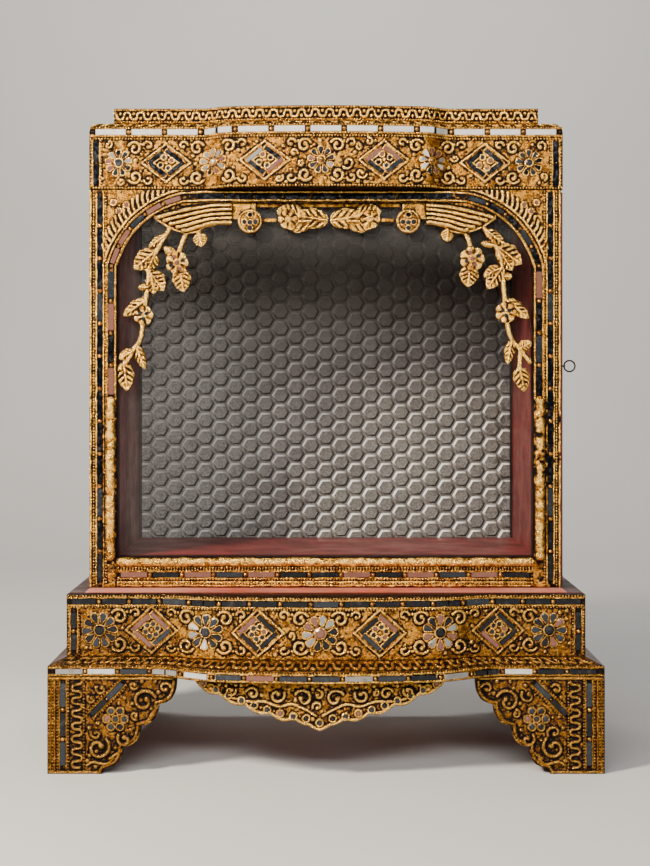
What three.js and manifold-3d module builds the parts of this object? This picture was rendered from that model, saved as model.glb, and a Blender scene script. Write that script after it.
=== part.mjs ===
// A small gilded temple shrine: a glazed door hung on a wooden case, on a base with bracket feet.
// Millimetres, +Z up, the front faces -Y. The origin is the middle of the footprint, on the ground.
import * as THREE from "three";
import { mergeVertices } from "three/addons/utils/BufferGeometryUtils.js";
import Module from "manifold-3d";

const wasm = await Module();
wasm.setup();

// Clearances
const fit = 0.3; // between pieces that touch
const doorClearance = 0.8; // round the door
const hidden = 1.2; // how deep relief is rooted in its board

// Heights
const footHeight = 88.4;
const ledgeEdge = 9;
const ledgeSlope = 6.4;
const baseHeight = 56.8;
const doorHeight = 377;
const corniceHeight = 49.4;
const mouldingHeight = 14;
const crownHeight = 14.6;

// Half-widths: each piece stands out or in from the door's edge
const doorHalf = 224;
const caseOverlap = 4;
const corniceOverlap = 1;
const crownInset = 22;
const nicheInset = 24;
const baseStep = 14.5;
const ledgeStep = 14.9;
const caseHalf = doorHalf + caseOverlap;
const corniceHalf = doorHalf + corniceOverlap;
const crownHalf = corniceHalf - crownInset;
const nicheHalf = doorHalf - nicheInset;
const baseHalf = doorHalf + baseStep;
const ledgeHalf = baseHalf + ledgeStep;

// Depths, measured back from the plane of the door's face
const doorThick = 22;
const caseDepth = 194;
const ledgeProud = 69;
const baseProud = 52;
const ledgeBackOverhang = 15;
const crownSetback = 12;
const crownBackSetback = 20;

// Boards
const footBoard = 16;
const friezeBoard = 16;
const sideBoard = 14;
const baseTopThick = 10;
const postDepth = 24;
const panelThick = 14;
const backThick = 10;
const floorThick = 12;
const sillHeight = 29;
const corniceBoard = 14;
const doorTilt = -0.8; // the door hangs this far to the left

// Door frame
const stileWidth = 26;
const topRail = 11.8;
const bottomRail = 28.6;
const glassThick = 3;
const glassFront = 12;
const grooveDepth = 6;

// Bowed fronts: the face steps out between outer and inner, then swells by crown to its middle
const ledgeBow = { outer: 160, inner: 95, step: 31, crown: 9.4 };
const baseBow = { outer: 156, inner: 98, step: 16, crown: 6 };
const corniceBow = { outer: 118, inner: 92, step: 17, crown: 6.8 };
const crownBow = { outer: 118, inner: 92, step: 14, crown: 6.8 };

// Relief
const threadRadius = 1.5;
const tileHeight = 1.3;
const studHeight = 1.9;
const motifs = 9; // flowers and lozenges by turns across a frieze
const petals = 6;

// Feet
const footReach = 117;
const footToe = 52;
const footLobes = 4;
const lobeSwell = 6;
const footRootDrop = 6;
const toeRise = 5;

// The lobed apron
const apronHalf = 112;
const apronDrop = 41;
const apronThick = 12;
const apronSetback = 13;
const apronLobes = 5;
const apronShift = -6;

// Hinges and the wire eye
const hingeHeight = 36;
const hingeInset = 64;
const hingeLeaf = 1.2;
const hingeReach = 14;
const knuckleRadius = 2;
const eyeRadius = 5.4;
const wireRadius = 0.8;
const eyeRise = 210; // above the door's foot

// The patterned sheet
const sheetSideGap = 3;
const sheetThick = 3;
const sheetTopGap = 14;

// Cornice
const mouldingUpright = 9;
const mouldingRoll = 17;

// Arch and pierced carving
const archStart = 61.5; // below the opening's top
const archReach = 64; // in from the opening's side
const archPullIn = 14; // the middle of the arch's curve is drawn to here, near the corner
const archPullDown = 12;
const tileBand = 7;
const carvedThick = 7;
const carvedBack = 9;
const sheafEnd = { left: 109.5, right: 102 }; // in from the opening's side, where the centre piece begins
const flutes = 5;
const roundelRadius = 11.5;

// Base
const tileRow = 7.4;

// Levels and planes worked out from the sizes above
const ledgeZ = footHeight + fit;
const baseZ = ledgeZ + ledgeEdge + ledgeSlope;
const baseTopZ = baseZ + baseHeight;
const doorZ = baseTopZ + doorClearance;
const caseTopZ = doorZ + doorHeight + doorClearance / 2;
const corniceZ = caseTopZ + doorClearance / 2;
const mouldingZ = corniceZ + corniceHeight + fit;
const crownZ = mouldingZ + mouldingHeight + fit;
const caseFront = doorThick + doorClearance;
const caseBack = caseFront + caseDepth;
const ledgeBack = caseBack + ledgeBackOverhang;
const frontmost = ledgeProud + ledgeBow.step + ledgeBow.crown + studHeight;
const shrineMiddle = (ledgeBack - frontmost) / 2;

const gilt = { color: 0xb8862e, roughness: 0.38, metalness: 0.8 };
const oldWood = { color: 0x4a2318, roughness: 0.6, metalness: 0 };
const redLacquer = { color: 0xa8504a, roughness: 0.55, metalness: 0 };
const clearGlass = { color: 0xdfe8e6, roughness: 0.05, metalness: 0 };
const greySheet = { color: 0x8f8b86, roughness: 0.4, metalness: 0.6 };
const darkIron = { color: 0x2b2724, roughness: 0.6, metalness: 0.8 };

// Geometry to solid and back

function solid(geometry) {
  const bare = geometry.clone();
  bare.deleteAttribute("normal");
  bare.deleteAttribute("uv");
  const merged = mergeVertices(bare, 1e-4);
  const vertProperties = new Float32Array(merged.attributes.position.array);
  const triVerts = new Uint32Array(merged.index.array);
  return new wasm.Manifold(new wasm.Mesh({ numProp: 3, vertProperties, triVerts }));
}

function join(solids) {
  return solids.reduce((whole, next) => whole.add(next));
}

const shrine = new THREE.Group();
const door = new THREE.Group();
shrine.position.y = -shrineMiddle;
door.position.x = doorTilt;
shrine.add(door);

function add(name, made, finish, group = shrine) {
  const data = made.getMesh();
  const geometry = new THREE.BufferGeometry();
  geometry.setAttribute("position", new THREE.BufferAttribute(new Float32Array(data.vertProperties), 3));
  geometry.setIndex(new THREE.BufferAttribute(new Uint32Array(data.triVerts), 1));
  geometry.computeVertexNormals();
  const mesh = new THREE.Mesh(geometry, new THREE.MeshStandardMaterial(finish));
  mesh.name = name;
  group.add(mesh);
}

// Plain forms

function block(x0, x1, y0, y1, z0, z1) {
  const box = new THREE.BoxGeometry(x1 - x0, y1 - y0, z1 - z0);
  return solid(box.translate((x0 + x1) / 2, (y0 + y1) / 2, (z0 + z1) / 2));
}

function bowAt(x, bow) {
  const off = Math.abs(x);
  const t = THREE.MathUtils.clamp((bow.outer - off) / (bow.outer - bow.inner), 0, 1);
  const swell = off < bow.inner ? bow.crown * (1 - (off / bow.inner) ** 2) : 0;
  return bow.step * t * t * (3 - 2 * t) + swell;
}

// The places along x at which a bowed face is given a point, from -half to half
function bowStations(half, bow) {
  const right = [0, bow.inner / 2];
  for (let i = 0; i <= 3; i++) right.push(bow.inner + ((bow.outer - bow.inner) * i) / 3);
  right.push(half);
  const kept = right.filter((x) => x <= half);
  return [...kept.slice(1).reverse().map((x) => -x), ...kept];
}

// A form with one closed section at each station; a section is a list of 3-D points, and its end is
// filled as seen along the axis that is left out of plane
function loft(sections, plane = ["y", "z"]) {
  const count = sections[0].length;
  const positions = sections.flat().flatMap((p) => [p.x, p.y, p.z]);
  const index = [];
  for (let s = 0; s + 1 < sections.length; s++) {
    for (let k = 0; k < count; k++) {
      const a = s * count + k;
      const b = s * count + ((k + 1) % count);
      index.push(a, a + count, b, b, a + count, b + count);
    }
  }
  const flat = sections[0].map((p) => new THREE.Vector2(p[plane[0]], p[plane[1]]));
  const last = (sections.length - 1) * count;
  const clockwise = THREE.ShapeUtils.isClockWise(flat);
  for (const face of THREE.ShapeUtils.triangulateShape(flat, [])) {
    const [a, b, c] = clockwise ? [...face].reverse() : face;
    index.push(a, b, c);
    index.push(last + a, last + c, last + b);
  }
  const geometry = new THREE.BufferGeometry();
  geometry.setAttribute("position", new THREE.Float32BufferAttribute(positions, 3));
  geometry.setIndex(index);
  const made = solid(geometry);
  if (made.volume() > 0) return made;
  const turned = [];
  for (let i = 0; i < index.length; i += 3) turned.push(index[i], index[i + 2], index[i + 1]);
  geometry.setIndex(turned);
  return solid(geometry);
}

// A flat shape drawn in x and z, thick from the face at y = back towards the front
function plate(shape, back, thick) {
  const geometry = new THREE.ExtrudeGeometry(shape, { depth: thick, bevelEnabled: false });
  return geometry.rotateX(Math.PI / 2).translate(0, back, 0);
}

// Sets a relief form, made with y = 0 as the face, onto a face whose y depends on x
function onto(geometry, faceAt) {
  const p = geometry.attributes.position;
  for (let i = 0; i < p.count; i++) p.setY(i, p.getY(i) + faceAt(p.getX(i)));
  return solid(geometry);
}

function polygon(points) {
  return new THREE.Shape(points.map(([x, z]) => new THREE.Vector2(x, z)));
}

// Relief forms, all with y = 0 as the face and rooted a little behind it

// A rolled thread of putty: three-sided, with its ridge to the front
function thread(points, radius, steps) {
  const section = polygon([0, 1, 2].map((k) => {
    const a = (2 * Math.PI * k) / 3;
    return [radius * Math.cos(a), radius * Math.sin(a)];
  }));
  const path = new THREE.CatmullRomCurve3(points.map(([x, z]) => new THREE.Vector3(x, 0, z)));
  return new THREE.ExtrudeGeometry(section, { steps, extrudePath: path });
}

// A scroll that winds in from its outer radius
function curl(x, z, radius, start, turn, size) {
  const points = [];
  const parts = 3;
  for (let i = 0; i <= parts; i++) {
    const t = i / parts;
    const r = radius * (1 - 0.7 * t);
    const a = start + turn * t;
    points.push([x + r * Math.cos(a), z + r * Math.sin(a)]);
  }
  return thread(points, size, parts);
}

function dome(x, z, radius, height, sides = 5) {
  const cone = new THREE.CylinderGeometry(radius, radius * 0.5, height + hidden, sides);
  return cone.translate(0, (hidden - height) / 2, 0).translate(x, 0, z);
}

function bar(xa, xb, z0, z1, height) {
  const box = new THREE.BoxGeometry(Math.abs(xb - xa), height + hidden, z1 - z0);
  return box.translate((xa + xb) / 2, (hidden - height) / 2, (z0 + z1) / 2);
}

// Points given along and across a line that leaves x, z at an angle
function turned(points, x, z, angle) {
  const c = Math.cos(angle);
  const s = Math.sin(angle);
  return points.map(([along, across]) => [x + along * c - across * s, z + along * s + across * c]);
}

function petal(x, z, length, width, angle) {
  const outline = [[0, 0], [0.6, -0.5], [1, 0], [0.6, 0.5]]
    .map(([along, across]) => [along * length, across * width]);
  return plate(polygon(turned(outline, x, z, angle)), hidden, hidden + tileHeight);
}

function flower(x, z, radius, count) {
  const forms = [dome(x, z, radius * 0.36, 3, 5)];
  for (let i = 0; i < count; i++) {
    const a = (2 * Math.PI * (i + 0.3)) / count;
    const root = turned([[0.3 * radius, 0]], x, z, a)[0];
    forms.push(petal(root[0], root[1], 0.7 * radius, 0.46 * radius, a));
  }
  return forms;
}

function lozenge(x, z, halfWide, halfHigh) {
  const ring = (grow) => [[halfWide, 0], [0, halfHigh], [-halfWide, 0], [0, -halfHigh]]
    .map(([a, b]) => [x + a * grow, z + b * grow]);
  const outline = polygon(ring(1));
  outline.holes.push(polygon(ring(0.68).reverse()));
  return [plate(outline, hidden, hidden + tileHeight)];
}

// The row of flowers and lozenges with scrolls between them, across a frieze
function friezeRelief(half, middleZ, size) {
  const pitch = (2 * half) / motifs;
  const forms = [];
  for (let i = 0; i < motifs; i++) {
    const x = (i - (motifs - 1) / 2) * pitch;
    if (i % 2 === 1) {
      forms.push(...lozenge(x, middleZ, size.lozengeWide, size.lozengeHigh));
      continue;
    }
    forms.push(...flower(x, middleZ, size.flower, petals));
    for (const side of [-1, 1]) {
      for (const up of [-1, 1]) {
        const cx = x + side * size.curlOut;
        if (Math.abs(cx) > half - size.curl) continue;
        const start = side > 0 ? Math.PI : 0;
        forms.push(curl(cx, middleZ + up * size.curlUp, size.curl, start, -side * up * 4.6, threadRadius));
      }
    }
  }
  return forms;
}

// A wavy thread along x
function waveThread(x0, x1, z, rise, waves) {
  const points = [];
  for (let i = 0; i <= 2 * waves; i++) {
    points.push([THREE.MathUtils.lerp(x0, x1, i / (2 * waves)), z + (i % 2 ? rise : -rise)]);
  }
  return thread(points, 1.1, 2 * waves);
}

// A flat strip that follows a bowed face, such as a row of tiles or a line of beads
function strip(half, bow, z0, z1, height, faceY) {
  return loft(bowStations(half, bow).map((x) => {
    const y = faceY - bowAt(x, bow);
    return [[y - height, z0], [y + hidden, z0], [y + hidden, z1], [y - height, z1]]
      .map(([a, b]) => new THREE.Vector3(x, a, b));
  }));
}

function bowedBoard(half, bow, faceY, thick, z0, z1) {
  return loft(bowStations(half, bow).map((x) => {
    const y = faceY - bowAt(x, bow);
    return [[y, z0], [faceY + thick, z0], [faceY + thick, z1], [y, z1]]
      .map(([a, b]) => new THREE.Vector3(x, a, b));
  }));
}

function studPlaces(half) {
  return [-1, -0.5, 0, 0.5, 1].map((share) => share * half);
}

// Feet

// Drawn from the corner at 0 inwards along +x
function footOutline(reach, toe, lobes) {
  const outline = [[0, 0], [0, footHeight], [reach, footHeight]];
  for (let i = 0; i < lobes; i++) {
    for (const t of [0, 0.35, 0.75]) {
      const s = (i + t) / lobes;
      const swell = lobeSwell * Math.sin(Math.PI * t);
      const x = THREE.MathUtils.lerp(reach, toe, s) + swell * 0.75;
      const z = THREE.MathUtils.lerp(footHeight - footRootDrop, toeRise, s) - swell * 0.65;
      outline.push([x, z]);
    }
  }
  outline.push([toe, toeRise], [toe - 2.5, 0]);
  return outline;
}

function mirrored(points, side, edge) {
  const moved = points.map(([x, z]) => [side * (edge - x), z]);
  return THREE.ShapeUtils.isClockWise(moved.map(([x, y]) => ({ x, y }))) ? moved.reverse() : moved;
}

const footDiscs = [0, 1, 2, 3, 4, 5].map((i) => (i * Math.PI) / 3);

function frontFoot(side) {
  const at = (points) => mirrored(points, side, ledgeHalf);
  const wave = [];
  for (let i = 0; i <= 12; i++) {
    wave.push([27 + (i % 2 ? 4 : -4), THREE.MathUtils.lerp(6, footHeight - 6, i / 12)]);
  }
  const x = (inward) => side * (ledgeHalf - inward);
  const reliefs = [
    bar(x(10), x(18), 6, footHeight - 4, tileHeight),
    thread(wave.map(([a, z]) => [x(a), z]), threadRadius, 12),
    plate(polygon(at([[38, 52], [70, 84], [75, 79], [43, 47]])), hidden, hidden + tileHeight),
    dome(x(62), 54, 3.2, 1.8),
    ...footDiscs.map((a) => dome(x(62) + 8 * Math.cos(a), 54 + 8 * Math.sin(a), 3, 1.3, 4)),
    curl(x(88), 68, 11, 0.4, -side * 5, 1.8),
    curl(x(47), 27, 10, 2.6, side * 5, 1.8),
    curl(x(74), 33, 6, 1.2, -side * 4, 1.6),
    curl(x(105), 77, 6, 0, -side * 4, 1.6),
  ];
  const board = plate(polygon(at(footOutline(footReach, footToe, footLobes))), footBoard, footBoard);
  return join([board, ...reliefs].map((form) => onto(form, () => -ledgeProud)));
}

// A plainer bracket board; its corner is at x = side * ledgeHalf and it faces outwards
function backFoot(side) {
  const outline = mirrored(footOutline(footReach, footToe, 3), side, ledgeHalf);
  return onto(plate(polygon(outline), 0, footBoard), () => ledgeBack);
}

function sideFoot(side, front) {
  const length = front ? footReach - footBoard : footReach - footBoard - fit;
  const board = plate(polygon(footOutline(length, footToe, 3)), 0, footBoard);
  const near = -ledgeProud + footBoard + fit;
  const far = ledgeBack - footBoard - fit;
  board.rotateZ(Math.PI / 2);
  if (front) return solid(turnToSide(board, side, near, 1));
  return solid(turnToSide(board, side, far, -1));
}

// Puts a board that runs along +y from 0, thick in +x, at a side of the base
function turnToSide(board, side, cornerY, along) {
  const turn = new THREE.Matrix4().makeScale(-side, along, 1);
  board.applyMatrix4(turn).translate(side * ledgeHalf, cornerY, 0);
  if (side * along > 0) flip(board);
  return board;
}

function flip(geometry) {
  const p = geometry.attributes.position.array;
  for (let i = 0; i < p.length; i += 9) {
    for (let k = 3; k < 6; k++) [p[i + k], p[i + k + 3]] = [p[i + k + 3], p[i + k]];
  }
}

for (const [side, word] of [[-1, "left"], [1, "right"]]) {
  add("foot_front_" + word, frontFoot(side), gilt);
  add("foot_side_" + word + "_front", sideFoot(side, true), oldWood);
  add("foot_side_" + word + "_back", sideFoot(side, false), oldWood);
  add("foot_back_" + word, backFoot(side), oldWood);
}

// The lobed apron hangs under the bowed middle of the ledge, behind its edge

// How far the apron's edge hangs at a share of its half-length
function apronLine(t) {
  return apronDrop * (1 - t ** 1.6) * 0.82;
}

function apron() {
  const outline = [];
  const perHalf = apronLobes * 3;
  for (let i = -perHalf; i <= perHalf; i++) {
    const t = Math.abs(i) / perHalf;
    const lobe = Math.abs(Math.sin(Math.PI * apronLobes * t));
    const tip = i === 0 ? apronDrop * 0.18 : 0;
    outline.push([apronHalf * (i / perHalf), footHeight - 3 - apronLine(t) - tip - 3.6 * lobe]);
  }
  outline.push([apronHalf, footHeight], [-apronHalf, footHeight]);
  const faceY = -ledgeProud + apronSetback;
  const face = (x) => faceY - bowAt(x, ledgeBow);
  const forms = [];
  for (const side of [-1, 1]) {
    forms.push(curl(side * 17, footHeight - 15, 9, 0, side * 4.8, 1.6));
    forms.push(curl(side * 50, footHeight - 11, 7, Math.PI, -side * 4.8, 1.6));
    forms.push(curl(side * 78, footHeight - 10, 5, Math.PI, side * 4, 1.4));
    for (let i = 0; i < apronLobes - 1; i++) {
      const t = (i + 0.5) / apronLobes;
      forms.push(dome(side * apronHalf * t, footHeight - 1 - apronLine(t), 2.4, 1.2, 4));
    }
  }
  const slab = loft(bowStations(apronHalf - apronShift, ledgeBow).map((x) => {
    const y = face(x);
    return [[y, 0], [y + apronThick, 0], [y + apronThick, footHeight], [y, footHeight]]
      .map(([a, b]) => new THREE.Vector3(x, a, b));
  }));
  const cutter = solid(plate(polygon(outline), 0, 3 * ledgeProud).translate(apronShift, 0, 0));
  const reliefs = forms.map((form) => onto(form.translate(apronShift, 0, 0), face));
  return join([slab.intersect(cutter), ...reliefs]);
}

add("front_apron", apron(), gilt);

// The ledge: four lengths of sloped moulding, mitred at the corners

const ledgeOut = ledgeHalf - baseHalf;
const ledgeIn = friezeBoard;

// A straight length seen from its end: distance out from the base's face, and height
const ledgeSection = [[-ledgeIn, 0], [ledgeOut, 0], [ledgeOut, ledgeEdge], [0, ledgeEdge + ledgeSlope],
  [-ledgeIn, ledgeEdge + ledgeSlope]];

function ledgeFrontPiece() {
  const inner = -baseProud + ledgeIn;
  const section = (x) => {
    const edge = -ledgeProud - bowAt(x, ledgeBow);
    const foot = -baseProud - bowAt(x, baseBow);
    return [[inner, 0], [edge, 0], [edge, ledgeEdge], [foot, ledgeEdge + ledgeSlope],
      [inner, ledgeEdge + ledgeSlope]];
  };
  const stations = bowStations(ledgeHalf, ledgeBow);
  const sections = stations.map((x, i) => section(x).map(([y, z]) => {
    const end = i === 0 || i === stations.length - 1;
    const cut = end ? Math.sign(x) * (y + ledgeProud + fit) * (ledgeOut + ledgeIn)
      / (ledgeProud - baseProud + ledgeIn) : 0;
    return new THREE.Vector3(x - cut, y, ledgeZ + z);
  }));
  const forms = [loft(sections), strip(ledgeHalf - 3, ledgeBow, ledgeZ + 2.2, ledgeZ + 7.6, tileHeight,
    -ledgeProud)];
  const face = (x) => -ledgeProud - bowAt(x, ledgeBow);
  for (const x of studPlaces(ledgeHalf - 10)) {
    forms.push(onto(dome(x, ledgeZ + 4.9, 2.2, studHeight, 4), face));
  }
  return join(forms);
}

function ledgeSidePiece(side) {
  const front = -ledgeProud;
  const total = ledgeOut + ledgeIn;
  const frontTotal = ledgeProud - baseProud + ledgeIn;
  const backTotal = ledgeBackOverhang + ledgeIn;
  const sections = [0, 1].map((end) => ledgeSection.map(([out, z]) => {
    const inward = (ledgeOut - out) / total;
    const y = end ? ledgeBack - fit - inward * backTotal : front + fit + inward * frontTotal;
    return new THREE.Vector3(side * (baseHalf + out), y, ledgeZ + z);
  }));
  return loft(sections);
}

function ledgeBackPiece() {
  const total = ledgeOut + ledgeIn;
  const backTotal = ledgeBackOverhang + ledgeIn;
  const sections = [-1, 1].map((side) => ledgeSection.map(([out, z]) => {
    const inward = (ledgeOut - out) / total;
    const y = ledgeBack - inward * backTotal;
    return new THREE.Vector3(side * (baseHalf + out - 2 * fit), y, ledgeZ + z);
  }));
  return loft(sections);
}

add("ledge_front", ledgeFrontPiece(), gilt);
add("ledge_left", ledgeSidePiece(-1), oldWood);
add("ledge_right", ledgeSidePiece(1), oldWood);
add("ledge_back", ledgeBackPiece(), oldWood);

// The base box

const baseFriezeSize = { flower: 19, lozengeWide: 21, lozengeHigh: 21, curl: 7, curlOut: 22, curlUp: 14 };

function baseFrieze() {
  const z0 = baseZ + fit;
  const reliefs = friezeRelief(baseHalf - 8, z0 + (baseHeight - fit - tileRow) / 2 - 1, baseFriezeSize);
  const face = (x) => -baseProud - bowAt(x, baseBow);
  const forms = [bowedBoard(baseHalf, baseBow, -baseProud, friezeBoard, z0, baseTopZ)];
  forms.push(strip(baseHalf - 3, baseBow, baseTopZ - 2.6 - tileRow, baseTopZ - 2.6, tileHeight, -baseProud));
  for (const side of [-1, 1]) {
    forms.push(onto(bar(side * (baseHalf - 4), side * (baseHalf - 10), z0 + 6, z0 + 38, tileHeight), face));
  }
  for (const form of reliefs) forms.push(onto(form, face));
  return join(forms);
}

const baseBoxFront = -baseProud + friezeBoard + fit;
const baseBoxBack = caseBack - sideBoard - fit;
const baseInner = baseHalf - sideBoard - fit;

add("base_frieze", baseFrieze(), gilt);
for (const [side, word] of [[-1, "left"], [1, "right"]]) {
  const outer = side * baseHalf;
  const inner = side * (baseHalf - sideBoard);
  add("base_side_" + word, block(Math.min(outer, inner), Math.max(outer, inner), baseBoxFront, caseBack,
    baseZ + fit, baseTopZ), oldWood);
}
add("base_back", block(-baseInner, baseInner, caseBack - sideBoard, caseBack, baseZ + fit, baseTopZ),
  oldWood);
add("base_top", block(-baseInner, baseInner, baseBoxFront, baseBoxBack, baseTopZ - baseTopThick, baseTopZ),
  redLacquer);

// The case: corner posts, side panels, back board, floor and the sill under it

const postWide = caseHalf - nicheHalf;
const caseZ = baseTopZ + fit;
const panelFront = caseFront + postDepth + fit;
const panelBack = caseBack - postDepth - fit;
const floorTop = caseZ + sillHeight;
const inside = nicheHalf - fit;
const hingeLevels = [["low", doorZ + hingeInset], ["high", doorZ + doorHeight - hingeInset]];
const hingeX = -(doorHalf - doorTilt + 0.8); // just outside the hung door's edge
const hingeY = doorThick + doorClearance / 2;

// The room that a hinge's leaf and knuckle need in the wood
function hingeRoom(level) {
  const half = hingeHeight / 2 + fit;
  const y = hingeY;
  const r = knuckleRadius + fit;
  return [
    block(hingeX - r - 2, hingeX + r, y - r, y + r, level - half, level + half),
    block(hingeX - 4, hingeX + hingeReach + fit, y - hingeLeaf - 2 * fit, y + hingeLeaf + 2 * fit,
      level - half, level + half),
  ];
}

function post(side, front) {
  const x = [side * nicheHalf, side * caseHalf].sort((a, b) => a - b);
  const y0 = front ? caseFront : caseBack - postDepth;
  let made = block(x[0], x[1], y0, y0 + postDepth, caseZ, caseTopZ);
  if (side < 0 && front) {
    for (const [, level] of hingeLevels) {
      for (const room of hingeRoom(level)) made = made.subtract(room);
    }
  }
  return made;
}

for (const [side, word] of [[-1, "left"], [1, "right"]]) {
  add("post_front_" + word, post(side, true), redLacquer);
  add("post_back_" + word, post(side, false), redLacquer);
  const x = [side * nicheHalf, side * (nicheHalf + panelThick)].sort((a, b) => a - b);
  add("side_panel_" + word, block(x[0], x[1], panelFront, panelBack, caseZ, caseTopZ), redLacquer);
}
add("case_sill", block(-inside, inside, caseFront, caseFront + panelThick, caseZ, floorTop), redLacquer);
add("case_floor", block(-inside, inside, caseFront + panelThick + fit, caseBack - backThick - fit,
  floorTop - floorThick, floorTop), redLacquer);
add("back_board", block(-inside, inside, caseBack - backThick, caseBack, caseZ, caseTopZ), oldWood);

// The patterned sheet stands on the floor in front of the back board, with a gap at each side

const sheetBack = caseBack - backThick - 2;
add("hexagon_sheet", block(-inside + sheetSideGap, inside - sheetSideGap, sheetBack - sheetThick, sheetBack,
  floorTop + fit, mouldingZ - sheetTopGap), greySheet);

// The cornice

const corniceFriezeSize = { flower: 14, lozengeWide: 22.5, lozengeHigh: 18, curl: 6, curlOut: 19,
  curlUp: 13 };

function corniceFrieze() {
  const z1 = corniceZ + corniceHeight;
  const reliefs = friezeRelief(corniceHalf - 5, (corniceZ + z1) / 2, corniceFriezeSize);
  const face = (x) => -bowAt(x, corniceBow);
  const forms = [bowedBoard(corniceHalf, corniceBow, 0, corniceBoard, corniceZ, z1)];
  for (const side of [-1, 1]) {
    forms.push(onto(bar(side * (corniceHalf - 4), side * (corniceHalf - 10), corniceZ + 4, z1 - 3,
      tileHeight), face));
  }
  for (const form of reliefs) forms.push(onto(form, face));
  return join(forms);
}

add("cornice_frieze", corniceFrieze(), gilt);
for (const [side, word] of [[-1, "left"], [1, "right"]]) {
  const x = [side * (corniceHalf - corniceBoard), side * corniceHalf].sort((a, b) => a - b);
  add("cornice_side_" + word, block(x[0], x[1], corniceBoard + fit, caseBack, corniceZ,
    corniceZ + corniceHeight), oldWood);
}
const corniceInner = corniceHalf - corniceBoard - fit;
add("cornice_back", block(-corniceInner, corniceInner, caseBack - backThick, caseBack, corniceZ,
  corniceZ + corniceHeight), oldWood);

// The moulded top board: its edge stands upright below and rolls back above

// How far each level of the edge stands in from its foot
const mouldingLevels = [[0, 0], [mouldingUpright / 2, 0], [mouldingUpright, 1.5],
  [mouldingUpright + (mouldingHeight - mouldingUpright) * 0.62, mouldingRoll * 0.35],
  [mouldingHeight, mouldingRoll]];

function corniceMoulding() {
  const sections = mouldingLevels.map(([rise, inset]) => {
    const half = corniceHalf - inset;
    const front = bowStations(half, corniceBow).map((x) => [x, inset - bowAt(x, corniceBow)]);
    return [...front, [half, caseBack], [-half, caseBack]]
      .map(([x, y]) => new THREE.Vector3(x, y, mouldingZ + rise));
  });
  const forms = [loft(sections, ["x", "y"]), strip(corniceHalf - 6, corniceBow, mouldingZ + 1.6,
    mouldingZ + 7.6, tileHeight, 0.4)];
  const face = (x) => 0.6 - bowAt(x, corniceBow);
  for (const x of studPlaces(corniceHalf - 15)) {
    forms.push(onto(dome(x, mouldingZ + 4.6, 2.4, studHeight, 4), face));
  }
  return join(forms);
}

function crownSlab() {
  const back = caseBack - crownBackSetback;
  const board = loft(bowStations(crownHalf, crownBow).map((x) => {
    const y = crownSetback - bowAt(x, crownBow);
    return [[y, 0], [back, 0], [back, crownHeight], [y, crownHeight]]
      .map(([a, b]) => new THREE.Vector3(x, a, crownZ + b));
  }));
  const wave = waveThread(-crownHalf + 6, crownHalf - 6, crownZ + crownHeight / 2, 3.2, 11);
  return join([board, onto(wave, (x) => crownSetback - bowAt(x, crownBow))]);
}

add("cornice_moulding", corniceMoulding(), gilt);
add("crown_slab", crownSlab(), gilt);

// The door, in its own frame: x = 0 is its middle

const doorTop = doorZ + doorHeight;
const openHalf = doorHalf - stileWidth;
const openTop = doorTop - topRail;
const openLow = doorZ + bottomRail;

function glassRoom() {
  const wide = openHalf + grooveDepth;
  return block(-wide - fit, wide + fit, glassFront - fit, glassFront + glassThick + fit,
    openLow - grooveDepth - fit, openTop + grooveDepth + fit);
}

// A half-round moulding stood along z
function halfRound(x, radius, z0, z1) {
  const rod = new THREE.CylinderGeometry(radius, radius, z1 - z0, 10).rotateX(Math.PI / 2);
  return solid(rod.translate(x, 0.5, (z0 + z1) / 2));
}

function stile(side) {
  const x = [side * openHalf, side * doorHalf].sort((a, b) => a - b);
  let made = block(x[0], x[1], 0, doorThick, doorZ, doorTop);
  const face = () => 0;
  const outer = side * (doorHalf - 10);
  const inner = side * (openHalf + 6.2);
  const tiles = bar(outer - tileBand / 2, outer + tileBand / 2, doorZ + 4, doorTop - 3, tileHeight);
  const forms = [made, onto(tiles, face)];
  const turnZ = doorZ + doorHeight * 0.475;
  forms.push(halfRound(inner, 4.6, doorZ + bottomRail, turnZ));
  forms.push(onto(bar(inner - 4, inner + 4, turnZ + 2, openTop - archStart, tileHeight), face));
  for (const at of [doorHalf - 2.5, doorHalf - 16]) {
    forms.push(onto(bar(side * at - 0.9, side * at + 0.9, doorZ + 3, doorTop - 2, 0.9), face));
  }
  made = join(forms).subtract(glassRoom());
  if (side < 0) {
    for (const [, level] of hingeLevels) {
      for (const room of hingeRoom(level)) made = made.subtract(room.translate([-doorTilt, 0, 0]));
    }
  }
  return made;
}

function rail(z0, z1) {
  return block(-openHalf + fit, openHalf - fit, 0, doorThick, z0, z1);
}

function bottomRailPiece() {
  const rod = new THREE.CylinderGeometry(4, 4, 2 * openHalf - 2 * fit, 10).rotateZ(Math.PI / 2);
  const face = () => 0;
  const span = openHalf - 1;
  return join([rail(doorZ, openLow), solid(rod.translate(0, 0.5, openLow - 5)),
    onto(bar(-span, span, doorZ + 8.6, doorZ + 14.6, tileHeight), face),
    onto(bar(-span, span, doorZ + 1, doorZ + 6, 0.9), face)]).subtract(glassRoom());
}

function topRailPiece() {
  const span = openHalf - 76;
  const tiles = bar(-span, span, openTop + 3.4, openTop + 9.4, tileHeight);
  return join([rail(openTop, doorTop), onto(tiles, () => 0)]).subtract(glassRoom());
}

add("stile_left", stile(-1), gilt, door);
add("stile_right", stile(1), gilt, door);
add("rail_bottom", bottomRailPiece(), gilt, door);
add("rail_top", topRailPiece(), gilt, door);
const paneHalf = openHalf + grooveDepth - fit;
add("door_glass", block(-paneHalf, paneHalf, glassFront, glassFront + glassThick,
  openLow - grooveDepth + fit, openTop + grooveDepth - fit), clearGlass, door);

// Pierced carving: each item is placed inwards from the opening's side and down from its top

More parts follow.
